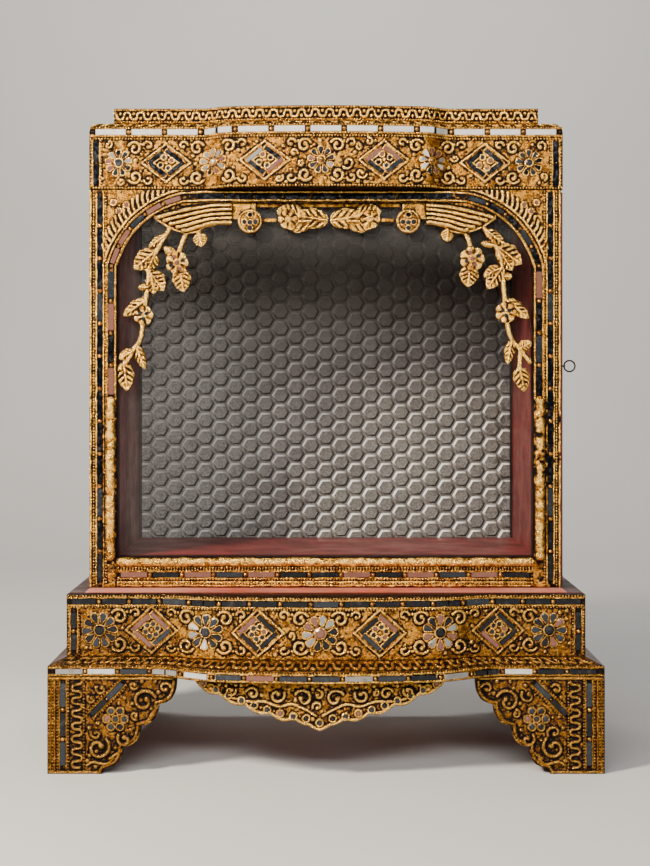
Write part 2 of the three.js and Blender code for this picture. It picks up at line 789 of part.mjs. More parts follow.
const corner = (side) => ([inward, down]) => [side * (openHalf - inward), openTop - down];

function archPoint(t, offset = 0) {
  const a = [0, archStart];
  const c = [archPullIn, archPullDown];
  const b = [archReach, 0];
  const mix = (i) => (1 - t) ** 2 * a[i] + 2 * t * (1 - t) * c[i] + t ** 2 * b[i];
  const slope = (i) => 2 * (1 - t) * (c[i] - a[i]) + 2 * t * (b[i] - c[i]);
  const length = Math.hypot(slope(0), slope(1));
  return [mix(0) + (offset * slope(1)) / length, mix(1) - (offset * slope(0)) / length];
}

// The foliage, in hundredths of the arch's reach: stems are lines of points, flowers have a radius, and
// leaves have a length, a width and an angle
const sprays = {
  left: {
    stems: [
      [[84.4, 26.6], [59.4, 70.3], [48.4, 100], [45.3, 125], [40.6, 162.5]],
      [[39.1, 171.9], [34.4, 201.6], [23.4, 220.3], [6.2, 246.9]],
      [[107.8, 35.9], [96.9, 57.8], [89.8, 81.2]],
      [[118.8, 34.4], [123.4, 53.1]],
      [[59.4, 68.8], [40.6, 85.9]],
    ],
    flowers: [[89.1, 89.1, 17.2], [39.1, 167.2, 14.8]],
    leaves: [[71.9, 48.4, 29.7, 12.5, 3.75], [56.2, 71.9, 40.6, 26.6, 3.85],
      [56.2, 75, 31.2, 18.8, 4.3], [48.4, 103.1, 34.4, 25, 5.38], [50, 106.2, 29.7, 18.8, 4.9],
      [85.9, 78.1, 20.3, 12.5, 2.5], [93.8, 98.4, 34.4, 25, 4.85], [121.9, 45.3, 20.3, 18.8, 4.9],
      [43.8, 143.8, 42.2, 17.2, 3.75], [46.9, 125, 15.6, 10.9, 3.2], [26.6, 210.9, 39.1, 14.1, 5.11],
      [23.4, 220.3, 23.4, 15.6, 3.66], [9.4, 237.5, 42.2, 23.4, 4.85]],
  },
  right: {
    stems: [
      [[84.4, 21.9], [67.2, 45.3], [54.7, 65.6], [46.9, 87.5], [43.8, 129.7], [39.8, 153.1]],
      [[39.1, 168.8], [37.5, 184.4], [31.2, 203.1], [17.2, 220.3], [4.7, 235.9]],
      [[110.9, 31.2], [98.4, 50], [90.6, 71.9]],
      [[125, 28.1], [127.3, 45.3]],
      [[18.8, 218.8], [20.3, 250]],
    ],
    flowers: [[90.5, 82.8, 18.6], [40.3, 162.5, 16.2]],
    leaves: [[70.3, 40.6, 34.4, 15.6, 5.64], [53.1, 65.6, 43.8, 28.1, 5.67],
      [50, 71.9, 34.4, 18.8, 5.3], [46.9, 96.9, 37.5, 21.9, 4.1], [48.4, 96.9, 28.1, 17.2, 3.6],
      [57.8, 62.5, 20.3, 9.4, 3.0], [93.8, 93.8, 31.2, 25, 4.6], [127.3, 39.1, 18.8, 17.2, 4.7],
      [40.6, 143.8, 43.8, 18.8, 5.6], [45.3, 109.4, 14.1, 10.9, 0], [31.2, 204.7, 35.9, 14.1, 4.5],
      [20.3, 217.2, 20.3, 15.6, 0.54], [20.3, 243.8, 37.5, 21.9, 4.9]],
  },
};

// A length drawn in hundredths of the arch's reach
function drawn(share) {
  return (share * archReach) / 100;
}

// Leaf outlines point along their angle, which is measured from +x, anticlockwise
function leaf(x, z, length, width, angle) {
  const outline = [[-0.06, 0], [0.3, -0.5], [0.7, -0.4], [1, 0], [0.7, 0.4], [0.3, 0.5]]
    .map(([a, b]) => [a * length, b * width]);
  return plate(polygon(turned(outline, x, z, angle)), carvedBack, carvedThick);
}

function spandrel(side, word) {
  const at = corner(side);
  const steps = [0, 0.25, 0.5, 0.75, 1];
  const arch = steps.map((t) => archPoint(t));
  const end = sheafEnd[word];
  const drawnAt = ([inward, down]) => at([drawn(inward), drawn(down)]);
  const lip = [[91, 22], [84, 31], [103, 42], [116, 41], [131, 34], [150, 30]].map((p) => p.map(drawn));
  const outline = [[fit, fit], [fit, archStart], ...arch.slice(1, -1), ...lip,
    [end - fit, drawn(32.5)], [end - fit, fit]];
  const placed = outline.map(at);
  const clockwise = THREE.ShapeUtils.isClockWise(placed.map(([x, y]) => ({ x, y })));
  const board = plate(polygon(clockwise ? placed.reverse() : placed), carvedBack, carvedThick + 1.5);
  const forms = [solid(board)];
  const raised = (geometry) => onto(geometry, () => carvedBack - carvedThick - 1.5);
  const bandEdge = (offset) => steps.map((t) => archPoint(t, offset));
  const band = [...bandEdge(1.5), ...bandEdge(9).reverse()].map(at);
  const bandTurn = THREE.ShapeUtils.isClockWise(band.map(([x, y]) => ({ x, y })));
  forms.push(raised(plate(polygon(bandTurn ? band.reverse() : band), hidden, hidden + tileHeight)));
  for (let i = 0; i < flutes; i++) {
    const t = i / (flutes - 1);
    const line = [[131, 6 + 26 * t], [106 - 6 * t, 9 + 27 * t], [78 + 19 * t, 16 + 20 * t]];
    const root = [end - 3, drawn(4 + 25 * t)];
    forms.push(raised(thread([at(root), ...line.map(drawnAt)], 2.4, 3)));
  }
  const spray = sprays[word];
  const stemPlane = carvedBack - carvedThick + 2;
  for (const line of spray.stems) {
    forms.push(onto(thread(line.map(drawnAt), 3.2, line.length - 1), () => stemPlane));
  }
  for (const [a, b, length, width, angle] of spray.leaves) {
    forms.push(solid(leaf(...drawnAt([a, b]), drawn(length), drawn(width), angle)));
  }
  for (const [a, b, radius] of spray.flowers) {
    const [x, z] = drawnAt([a, b]);
    const head = new THREE.CylinderGeometry(drawn(radius), drawn(radius) * 0.55, carvedThick + 1, 6);
    forms.push(solid(head.translate(x, carvedBack - (carvedThick + 1) / 2 - 1, z)));
  }
  const opening = block(-openHalf + fit, openHalf - fit, -doorThick, doorThick, openLow, openTop - fit);
  return join(forms).intersect(opening);
}

add("spandrel_left", spandrel(-1, "left"), gilt, door);
add("spandrel_right", spandrel(1, "right"), gilt, door);

// The carved centre piece between the sheaves

function garland() {
  const left = -(openHalf - sheafEnd.left) + 0.4;
  const right = openHalf - sheafEnd.right - 0.4;
  const half = (right - left) / 2;
  const middle = (left + right) / 2;
  const z = openTop - fit;
  const back = carvedBack;
  const forms = [block(left, right, back - 5, back, z - 3.4, z)];
  for (const side of [-1, 1]) {
    const end = middle + side * half;
    const roundel = end - side * (roundelRadius + 5);
    const blockEnds = [end, end - side * 2 * roundelRadius].sort((a, b) => a - b);
    forms.push(block(blockEnds[0], blockEnds[1], back - carvedThick, back, z - 1.3 * roundelRadius, z));
    const disc = new THREE.CylinderGeometry(roundelRadius, roundelRadius * 0.85, carvedThick + 1, 8);
    forms.push(solid(disc.translate(roundel, back - (carvedThick + 1) / 2, z - 1.5 * roundelRadius)));
    const linkEnds = [roundel, middle + side * half * 0.48].sort((a, b) => a - b);
    forms.push(block(linkEnds[0], linkEnds[1], back - 5, back - 1, z - half * 0.19, z - half * 0.158));
    const aim = (tilt) => (side > 0 ? tilt : Math.PI - tilt);
    const leaves = [[0.01, 0.17, 0.37, 0.185, 0.12], [0.18, 0.18, 0.33, 0.2, 0],
      [0.28, 0.13, 0.26, 0.19, 0.2]];
    for (const [out, drop, length, width, tilt] of leaves) {
      const x = middle + side * out * half;
      forms.push(solid(leaf(x, z - drop * half, length * half, width * half, aim(tilt))));
    }
    const bloom = new THREE.CylinderGeometry(half * 0.1, half * 0.065, carvedThick + 2, 6);
    const bloomX = middle + side * half * 0.42;
    forms.push(solid(bloom.translate(bloomX, back - (carvedThick + 2) / 2, z - half * 0.16)));
    const tab = middle + side * half * 0.36;
    forms.push(block(tab - half * 0.09, tab + half * 0.09, back - 5.5, back, z - half * 0.13, z));
  }
  return join(forms);
}

add("garland", garland(), gilt, door);

// Two small iron butt hinges in the seam, and the wire eye at the door's free edge

function hingeLeafPiece(level, sign) {
  const half = hingeHeight / 2;
  const x0 = hingeX;
  const near = hingeY + (sign * fit) / 2;
  const y = [near, near + sign * hingeLeaf].sort((a, b) => a - b);
  const knuckle = new THREE.CylinderGeometry(knuckleRadius, knuckleRadius, half - 2 * fit, 8);
  knuckle.rotateX(Math.PI / 2);
  knuckle.translate(hingeX, hingeY, level - sign * (half / 2));
  const span = sign < 0 ? [level + fit, level + half - fit] : [level - half + fit, level - fit];
  return solid(knuckle)
    .add(block(x0, hingeX + hingeReach, y[0], y[1], span[0], span[1]))
    .add(block(hingeX + knuckleRadius + fit, hingeX + hingeReach, y[0], y[1], level - half + fit,
      level + half - fit));
}

for (const [word, level] of hingeLevels) {
  add("hinge_" + word + "_case_leaf", hingeLeafPiece(level, 1), darkIron);
  add("hinge_" + word + "_door_leaf", hingeLeafPiece(level, -1).translate([-doorTilt, 0, 0]), darkIron, door);
}

function wireEye() {
  const ring = new THREE.TorusGeometry(eyeRadius, wireRadius, 4, 10).rotateX(Math.PI / 2);
  const shank = new THREE.CylinderGeometry(wireRadius, wireRadius, 5, 5).rotateZ(Math.PI / 2);
  const x = doorHalf + 4 + eyeRadius;
  const z = doorZ + eyeRise;
  const y = 9;
  return solid(ring.translate(x, y, z)).add(solid(shank.translate(doorHalf + 2.5 + fit, y, z)));
}

add("door_eye", wireEye(), darkIron, door);

export default shrine;
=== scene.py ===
import math

import bmesh
import bpy
import numpy as np
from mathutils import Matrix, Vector


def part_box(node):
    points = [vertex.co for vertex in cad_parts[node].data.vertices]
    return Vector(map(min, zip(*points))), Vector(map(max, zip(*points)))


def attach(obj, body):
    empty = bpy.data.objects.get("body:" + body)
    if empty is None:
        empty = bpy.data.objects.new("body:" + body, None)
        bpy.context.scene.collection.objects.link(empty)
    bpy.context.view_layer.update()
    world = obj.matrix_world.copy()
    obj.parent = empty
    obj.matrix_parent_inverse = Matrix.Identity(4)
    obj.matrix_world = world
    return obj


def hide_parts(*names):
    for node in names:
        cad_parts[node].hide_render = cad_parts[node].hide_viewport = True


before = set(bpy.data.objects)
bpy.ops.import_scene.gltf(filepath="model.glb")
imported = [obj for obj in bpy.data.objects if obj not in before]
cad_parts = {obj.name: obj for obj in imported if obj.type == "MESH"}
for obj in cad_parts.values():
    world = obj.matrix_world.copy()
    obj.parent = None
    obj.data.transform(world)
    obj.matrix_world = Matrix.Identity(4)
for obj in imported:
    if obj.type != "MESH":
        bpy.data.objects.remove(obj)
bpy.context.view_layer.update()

# Sizes are in millimetres until a mesh is made, in the frame's own axes: the front faces -y.
MM = 0.001


def sides(node):
    """A solid's extent: ((x0, x1), (y0, y1), (z0, z1)) in mm."""
    low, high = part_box(node)
    return [(1000 * a, 1000 * b) for a, b in zip(low, high)]


base_x, base_y, base_z = sides("base_frieze")
ledge_x, _, ledge_z = sides("ledge_front")
foot_x, foot_y, foot_z = sides("foot_front_left")
apron_x, _, _ = sides("front_apron")
cornice_x, cornice_y, cornice_z = sides("cornice_frieze")
moulding_x, moulding_y, moulding_z = sides("cornice_moulding")
crown_x, crown_y, crown_z = sides("crown_slab")
_, stile_y, stile_z = sides("stile_left")
rail_x, rail_y, rail_z = sides("rail_bottom")
top_x, top_y, top_z = sides("rail_top")
_, carving_y, _ = sides("spandrel_left")
garland_x, garland_y, garland_z = sides("garland")
sheet_x, sheet_y, sheet_z = sides("hexagon_sheet")
glass_x, _, _ = sides("door_glass")

# The carved fronts: each board's face is worked out from its flat back and its thickness
BASE_THICK, CORNICE_THICK, DOOR_THICK, CARVING_THICK, APRON_THICK = 16, 14, 22, 8.5, 12
LEDGE_DEEP, LEDGE_RISE = 17, 6.4  # how far the ledge's slope runs in, and climbs
APRON_BACK, CROWN_BACK = 13, 12  # how far these stand behind the ledge and the door
STILE_WIDE, SEAM = 26, 0.3

base_face = base_y[1] - BASE_THICK
cornice_face = cornice_y[1] - CORNICE_THICK
door_face = stile_y[1] - DOOR_THICK
ledge_face = base_face - LEDGE_DEEP
foot_face = foot_y[1] - BASE_THICK
apron_face = ledge_face + APRON_BACK
crown_face = door_face + CROWN_BACK
board_face = carving_y[1] - CARVING_THICK
door_middle = (glass_x[0] + glass_x[1]) / 2
open_half = top_x[1] - door_middle + SEAM
open_top = top_z[0]
open_low = rail_z[1]
door_half = open_half + STILE_WIDE

# Bowed fronts step out between outer and inner, then swell by crown to the middle
LEDGE_BOW = (160, 95, 31, 9.4)
BASE_BOW = (156, 98, 16, 6)
CORNICE_BOW = (118, 92, 17, 6.8)
CROWN_BOW = (118, 92, 14, 6.8)
FLAT = (1, 0.5, 0, 0)

# The moulded work: radii of the putty threads and beads, the beads' pitch and the mesh's pitch
THREAD = 1.5
FINE_THREAD = 0.75
BEAD = 1.2
BEAD_PITCH = 2.8
GRID = 0.75
WANDER = 9  # the size over which hand-laid lines drift
UNGILDED = -2.0  # stands in the ridge attribute for a board's plain lacquered back

# The mirror glass, by how much of its silvering is left
DARK, GREY, PALE, PINK, WHITE = 0.1, 0.3, 0.5, 0.7, 0.9
tone_seed = np.random.default_rng(7)


def bow(x, shape):
    """How far a bowed front stands out at x."""
    outer, inner, step, crown = shape
    off = np.abs(x)
    t = np.clip((outer - off) / (outer - inner), 0, 1)
    return step * t * t * (3 - 2 * t) + np.where(off < inner, crown * (1 - (off / inner) ** 2), 0)


def lattice_noise(x, z, size, seed):
    """Smooth noise from -1 to 1 with lumps about this size."""
    lattice = np.random.default_rng(seed).uniform(-1, 1, (128, 128))
    u, v = x / size + 500, z / size + 500
    i, j = np.floor(u).astype(int), np.floor(v).astype(int)
    a, b = u - i, v - j
    a, b = a * a * (3 - 2 * a), b * b * (3 - 2 * b)
    near = lattice[i % 128, j % 128] * (1 - a) + lattice[(i + 1) % 128, j % 128] * a
    far = lattice[i % 128, (j + 1) % 128] * (1 - a) + lattice[(i + 1) % 128, (j + 1) % 128] * a
    return near * (1 - b) + far * b


def line_distance(x, z, points):
    """How far each x, z is from a line of points."""
    best = np.full(np.shape(x), 1e9)
    for (xa, za), (xb, zb) in zip(points[:-1], points[1:]):
        dx, dz = xb - xa, zb - za
        length = max(dx * dx + dz * dz, 1e-9)
        t = np.clip(((x - xa) * dx + (z - za) * dz) / length, 0, 1)
        best = np.minimum(best, np.hypot(x - xa - t * dx, z - za - t * dz))
    return best


def rectangle(x0, z0, x1, z1):
    return [(x0, z0), (x1, z0), (x1, z1), (x0, z1)]


def inside_distance(x, z, points):
    """Distance to a closed outline, less than 0 inside it."""
    closed = list(points) + [points[0]]
    odd = np.zeros(np.shape(x), bool)
    for (xa, za), (xb, zb) in zip(closed[:-1], closed[1:]):
        if za == zb:
            continue
        crosses = (za > z) != (zb > z)
        odd ^= crosses & (x < xa + (z - za) * (xb - xa) / (zb - za))
    return line_distance(x, z, closed) * np.where(odd, -1, 1)


def smooth_line(points, parts=6):
    """Points along a curve that passes through the given ones."""
    p = [np.array(q, float) for q in points]
    p = [2 * p[0] - p[1], *p, 2 * p[-1] - p[-2]]
    made = []
    for a, b, c, d in zip(p[:-3], p[1:-2], p[2:-1], p[3:]):
        for t in np.arange(parts) / parts:
            made.append(0.5 * (2 * b + (c - a) * t + (2 * a - 5 * b + 4 * c - d) * t * t
                               + (3 * b - a - 3 * c + d) * t ** 3))
    return [tuple(q) for q in made] + [tuple(points[-1])]


def spiral(x, z, radius, start, turn, tight=0.72, parts=22):
    """A scroll that winds in from its outer radius."""
    made = []
    for i in range(parts + 1):
        t = i / parts
        r = radius * (1 - tight * t)
        made.append((x + r * math.cos(start + turn * t), z + r * math.sin(start + turn * t)))
    return made


class Relief:
    """Heights in mm over a face, on points x, z that wander a little, as work laid by hand does."""

    def __init__(self, x, z, seed, wander=0.35):
        self.x = x + wander * lattice_noise(x, z, WANDER, seed)
        self.z = z + wander * lattice_noise(x, z, WANDER, seed + 1)
        self.height = np.zeros_like(self.x)
        self.grime_and_shade = np.zeros_like(self.x)
        self.taken = np.zeros(self.x.shape, bool)

    def keep(self, line, reach):
        """Marks ground that no filling scroll may use."""
        mask = self.near(line, reach)
        self.taken[mask] |= line_distance(self.x[mask], self.z[mask], line) < reach

    def soil_and_shade(self, line, reach, amount=0.4):
        """Old grime and painted shade lodged along a line, beside raised work."""
        mask = self.near(line, reach)
        d = line_distance(self.x[mask], self.z[mask], line) / reach
        self.grime_and_shade[mask] = np.maximum(self.grime_and_shade[mask], amount * np.clip(1.6 * (1 - d), 0, 1))

    def near(self, points, reach):
        xs, zs = [p[0] for p in points], [p[1] for p in points]
        return ((self.x > min(xs) - reach) & (self.x < max(xs) + reach)
                & (self.z > min(zs) - reach) & (self.z < max(zs) + reach))

    def lift(self, mask, height):
        """Raises the ground to a height where it is lower."""
        self.height[mask] = np.maximum(self.height[mask], height)
        self.taken[mask] |= height > 0.05

    def thread(self, points, radius=THREAD, tall=1.0):
        """A round thread of putty along a line."""
        mask = self.near(points, radius)
        d = line_distance(self.x[mask], self.z[mask], points) / radius
        self.lift(mask, np.where(d < 1, tall * radius * np.clip(1 - d * d, 0, 1) ** 0.6, 0))

    def meander(self, low, high, level, wave, swing, radius, upright=False):
        """A wavy thread with steep flanks and round tops, along x or along z."""
        line = []
        for t in np.arange(low, high, wave / 20):
            along = t - 0.07 * wave * math.sin(4 * math.pi * t / wave)
            across = level + swing * math.sin(2 * math.pi * t / wave)
            line.append((across, along) if upright else (along, across))
        self.soil_and_shade(line, radius + 1.7, 0.22)
        self.thread(line, radius, 1.3)

    def dome(self, x, z, radius, height):
        mask = self.near([(x, z)], radius)
        d = np.hypot(self.x[mask] - x, self.z[mask] - z) / radius
        self.lift(mask, np.where(d < 1, height * np.clip(1 - d * d, 0, 1) ** 0.5, 0))

    def ring(self, x, z, radius, thick=FINE_THREAD, tall=1.1):
        mask = self.near([(x, z)], radius + thick)
        d = np.abs(np.hypot(self.x[mask] - x, self.z[mask] - z) - radius) / thick
        self.lift(mask, np.where(d < 1, tall * np.clip(1 - d * d, 0, 1) ** 0.6, 0))

    def curl(self, x, z, radius, start, turn, thick=THREAD, ball=2.3):
        """A scroll that ends in a ball."""
        line = spiral(x, z, radius, start, turn)
        self.soil_and_shade(line, thick + 1.5, 0.15)
        self.thread(line, thick, 1.35)
        self.dome(*line[-1], ball, 2.9)

    def fill(self, low, high, seed, radii=(6.2, 4.9, 3.7), tries=240):
        """Fills free ground with scrolls, then hooks, then small balls, each where there is room."""
        pick = np.random.default_rng(seed)
        for radius in (*radii, 1.9, 1.5):
            for _ in range(tries if radius > 2 else tries // 3):
                x = pick.uniform(low[0] + radius, high[0] - radius)
                z = pick.uniform(low[1] + radius, high[1] - radius)
                start = pick.uniform(0, 2 * math.pi)
                turn = pick.choice((-1, 1)) * pick.uniform(4.7, 5.8)
                gap = 0.9 if radius > 2 else 0.3
                mask = self.near([(x, z)], radius + gap)
                close = np.hypot(self.x[mask] - x, self.z[mask] - z) < radius + gap
                if self.taken[mask][close].any():
                    continue
                if radius > 2:
                    self.curl(x, z, radius, start, turn, 1.3, 1.5 + 0.1 * radius)
                    self.keep([(x, z), (x, z)], radius)
                else:
                    self.dome(x, z, radius, 1.7)

    def pits(self, depth, size, seed):
        """The unevenness of hand-worked putty."""
        self.height += depth * lattice_noise(self.x, self.z, size, seed)
        self.height += 0.5 * depth * lattice_noise(self.x, self.z, size / 2.2, seed + 5)


def blurred(height, reach):
    """Each height's mean with its neighbours."""
    made = height.copy()
    size = 2 * reach + 1
    for axis in (0, 1):
        padded = np.pad(made, [(reach, reach) if k == axis else (0, 0) for k in (0, 1)], mode="edge")
        total = np.insert(np.cumsum(padded, axis=axis), 0, 0, axis=axis)
        made = (np.take(total, range(size, total.shape[axis]), axis)
                - np.take(total, range(0, total.shape[axis] - size), axis)) / size
    return made


def hollows(relief, height=None):
    """From 0 in hollows, which take grime and painted shade, to 1 on ridges, which take rubbing and a painted
    highlight, against the height of the surroundings.
    """
    h = relief.height if height is None else height
    close, wide = h - blurred(h, 2), h - blurred(h, 6)
    return np.clip(0.45 + 0.75 * close + 0.3 * wide - relief.grime_and_shade, 0, 1)


# Stones, studs and beads are collected here while the reliefs are laid, by body

stones = {}
rows = {}


def set_stone(kind, body, spot, size, heading=0.0, slant=0.0, tone=0.0):
    """A stone or stud at spot; heading turns it with the bow of the face, slant turns it in the face."""
    stones.setdefault((kind, body), []).append((spot, size, (0.0, -slant, heading), tone))


def bead_row(body, points):
    rows.setdefault(body, []).append(points)


def face_heading(x, shape):
    return math.atan2(float(-bow(x + 0.5, shape) + bow(x - 0.5, shape)), 1.0)


class Face:
    """A carved face: gives the y of its surface, and puts stones and beads on it."""

    def __init__(self, body, plane, shape=FLAT, shift=0.0):
        self.body, self.plane, self.shape, self.shift = body, plane, shape, shift

    def y(self, x):
        return self.plane - bow(x, self.shape)

    def stone(self, kind, x, z, size, slant=0.0, tone=DARK, sunk=0.0):
        spot = (x + self.shift, float(self.y(x)) + sunk, z)
        set_stone(kind, self.body, spot, size, face_heading(x, self.shape), slant, tone)

    def beads(self, line, relief=None, proud=0.3, step=4.0):
        """Strings beads along a line, and lodges grime and painted shade beside them in the relief."""
        if relief is not None:
            relief.soil_and_shade(line, 2.4, 0.34)
        placed = []
        for (xa, za), (xb, zb) in zip(line[:-1], line[1:]):
            count = max(1, round(math.hypot(xb - xa, zb - za) / step))
            for i in range(count):
                x, z = xa + (xb - xa) * i / count, za + (zb - za) * i / count
                placed.append((x + self.shift, float(self.y(x)) - proud, z))
        x, z = line[-1]
        placed.append((x + self.shift, float(self.y(x)) - proud, z))
        bead_row(self.body, placed)


def tile_run(face, relief, start, end, wide, tones, length=20.0, stud=4.2, proud=0.9):
    """Glass tiles in a row from start to end with a stud in each joint, between two fine rims where a
    relief is given. Gives back the joints."""
    (xa, za), (xb, zb) = start, end
    total = math.hypot(xb - xa, zb - za)
    slant = math.atan2(zb - za, xb - xa)
    count = max(1, round(total / (length + 2 * stud)))
    pitch = total / count
    joints = []
    for i in range(count):
        middle = (i + 0.5) / count
        tone = tones[i % len(tones)]
        x, z = xa + (xb - xa) * middle, za + (zb - za) * middle
        glass = pitch - stud - 1.0
        bend = abs(face_heading(x - 5, face.shape) - face_heading(x + 5, face.shape))
        parts = 2 if bend > 0.12 and abs(math.cos(slant)) > 0.5 else 1
        for k in range(parts):
            off = ((k + 0.5) / parts - 0.5) * glass
            face.stone("tile", x + off * math.cos(slant), z + off * math.sin(slant),
                       (glass / parts - (0.4 if parts > 1 else 0), 1.2, wide), slant, tone)
        if i:
            at = i / count
            spot = (xa + (xb - xa) * at, za + (zb - za) * at)
            face.stone("stud", *spot, (stud, stud, stud), tone=0.2, sunk=-proud)
            joints.append(spot)
    if relief is not None:
        relief.soil_and_shade([start, end], wide / 2 + 1.6, 0.3)
        relief.keep([start, end], wide / 2 + 1.6)
        across = (-math.sin(slant) * (wide / 2 + 0.7), math.cos(slant) * (wide / 2 + 0.7))
        for sign in (-1, 1):
            relief.thread([(xa + sign * across[0], za + sign * across[1]),
                           (xb + sign * across[0], zb + sign * across[1])], FINE_THREAD, 1.2)
    return joints


TEARDROP = [(-1, 0), (-0.5, 0.42), (0.1, 0.82), (0.6, 0.98), (0.92, 0.6), (1, 0), (0.92, -0.6),
            (0.6, -0.98), (0.1, -0.82), (-0.5, -0.42)]


def mirror_flower(face, relief, x, z, radius, petals, tones, boss, turn=0.3):
    """Teardrop petals of mirror glass in fine rims round a boss, given as its kind, radius and tone."""
    inner = radius * 0.32
    long = radius - inner
    relief.soil_and_shade([(x, z), (x, z)], radius + 1.5, 0.12)
    relief.keep([(x, z), (x, z)], radius + 0.8)
    wide = min(2 * math.pi * radius * 0.72 / petals, long * 0.62)
    for i in range(petals):
        a = 2 * math.pi * (i + turn) / petals
        tone = tones[i % len(tones)]
        mx, mz = x + (inner + long / 2) * math.cos(a), z + (inner + long / 2) * math.sin(a)
        face.stone("petal", mx, mz, (long * 0.94, 1.1, wide * 0.86), a, tone)
        rim = [(mx + math.cos(a) * u * long / 2 - math.sin(a) * v * wide / 2,
                mz + math.sin(a) * u * long / 2 + math.cos(a) * v * wide / 2) for u, v in TEARDROP]
        relief.thread(rim + rim[:1], FINE_THREAD * 0.8, 1.5)
    kind, size, tone = boss
    relief.dome(x, z, size + 1.0, 1.4)
    relief.ring(x, z, size + 0.3, 0.8, 2.0)
    thick, sunk = (1.5 * size, -2.0) if kind == "stud" else (0.45 * size, -0.9)
    face.stone(kind, x, z, (2 * size, thick, 2 * size), tone=tone, sunk=sunk)


def lozenge(face, relief, x, z, wide, high, tones, dots):
    """Four glass bars laid pinwheel fashion, fine rims, an outer thread, and a cluster of dots inside."""
    corners = [(wide, 0), (0, high), (-wide, 0), (0, -high)]
    band, slide = 5.0, 0.55  # the band that a bar fills, and how far along its side it sits
    relief.taken |= np.abs(relief.x - x) / (wide + 2.5) + np.abs(relief.z - z) / (high + 2.5) < 1
    for i, tone in enumerate(tones):
        (xa, za), (xb, zb) = corners[i], corners[(i + 1) % 4]
        length = math.hypot(xb - xa, zb - za)
        slant = math.atan2(zb - za, xb - xa)
        nx, nz = -math.sin(slant), math.cos(slant)
        inward = -1 if nx * xa + nz * za > 0 else 1
        cx = x + xa + (xb - xa) * slide + inward * nx * band * 0.62
        cz = z + za + (zb - za) * slide + inward * nz * band * 0.62
        glass = length - band * 1.75
        face.stone("tile", cx, cz, (glass, 1.2, band * 0.82), slant, tone)
        ux, uz = math.cos(slant), math.sin(slant)
        box = [(cx + s * ux * (glass / 2 + 0.7) + t * nx * band * 0.54,
                cz + s * uz * (glass / 2 + 0.7) + t * nz * band * 0.54)
               for s, t in ((-1, -1), (1, -1), (1, 1), (-1, 1))]
        relief.thread(box + box[:1], FINE_THREAD * 0.85, 1.5)
        relief.soil_and_shade([box[0], box[1]], 4.5, 0.2)
        outer = [(x + xa - inward * nx * 1.3 - ux * 1.5, z + za - inward * nz * 1.3 - uz * 1.5),
                 (x + xb - inward * nx * 1.3 + ux * 1.5, z + zb - inward * nz * 1.3 + uz * 1.5)]
        relief.thread(outer, THREAD * 0.85, 1.1)
    ring = wide * 0.27
    for i in range(dots):
        a = 2 * math.pi * (i + 0.25) / dots
        dx, dz = x + ring * math.cos(a), z + ring * math.sin(a)
        tone = [DARK, GREY, GREY, PINK][int(tone_seed.integers(4))]
        face.stone("disc", dx, dz, (4.2, 1.0, 4.2), tone=tone)
        relief.ring(dx, dz, 2.6, 0.85, 1.7)
    relief.dome(x, z, 2.0, 1.5)


def tones_of(*weights):
    """A repeatable mixed run of glass tones, with more of the heavier ones."""
    picks = tone_seed.choice(5, 12, p=np.array(weights) / sum(weights))
    return [[DARK, GREY, PALE, PINK, WHITE][k] for k in picks]


# Meshes


def new_object(name, mesh):
    made = bpy.data.objects.new(name, mesh)
    bpy.context.scene.collection.objects.link(made)
    return made


def add_attribute(mesh, name, values):
    mesh.attributes.new(name, "FLOAT", "POINT").data.foreach_set("value", np.asarray(values, np.float32))


def ringed(name, rings, carved, ridge, material, body, nodes):
    """A closed form of one ring of points at each station, with a face over each end."""
    count, around, _ = rings.shape
    faces, smooth = [], []
    for s in range(count - 1):
        for k in range(around):
            n = (k + 1) % around
            faces.append((s * around + k, s * around + n, (s + 1) * around + n, (s + 1) * around + k))
            smooth.append(carved[0] <= k < carved[1])
    faces += [tuple(range(around))[::-1], tuple((count - 1) * around + k for k in range(around))]
    mesh = bpy.data.meshes.new(name)
    mesh.from_pydata((rings.reshape(-1, 3) * MM).tolist(), [], faces)
    mesh.polygons.foreach_set("use_smooth", smooth + [False, False])
    add_attribute(mesh, "ridge", ridge.reshape(-1))
    return dress(new_object(name, mesh), material, body, nodes)


def dress(made, material, body, nodes=()):
    """Turns the faces outwards, gives the piece its finish and its body, and hides the solids it stands for.
    """
    shape = bmesh.new()
    shape.from_mesh(made.data)
    bmesh.ops.recalc_face_normals(shape, faces=shape.faces)
    shape.to_mesh(made.data)
    shape.free()
    made.data.materials.clear()
    made.data.materials.append(material)
    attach(made, body)
    if nodes:
        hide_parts(*nodes)
    return made


def front_board(name, face, back, xs, zs, relief, along, node, material):
    """A board whose front is carved: its rings run along x, or along z for an upright one."""
    h = relief.height
    x, z = np.meshgrid(xs, zs, indexing="ij")
    front = np.stack([x + face.shift, face.y(x) - h, z], axis=-1)
    ridge = hollows(relief)
    if along == "z":
        front, ridge = front.transpose(1, 0, 2), ridge.T
    ends = front[:, [-1, 0]].copy()
    ends[..., 1] = back
    rings = np.concatenate([front, ends], axis=1)
    edge = np.full((len(ridge), 2), UNGILDED)
    return ringed(name, rings, (0, front.shape[1] - 1), np.concatenate([ridge, edge], axis=1), material,
                  face.body, [node])


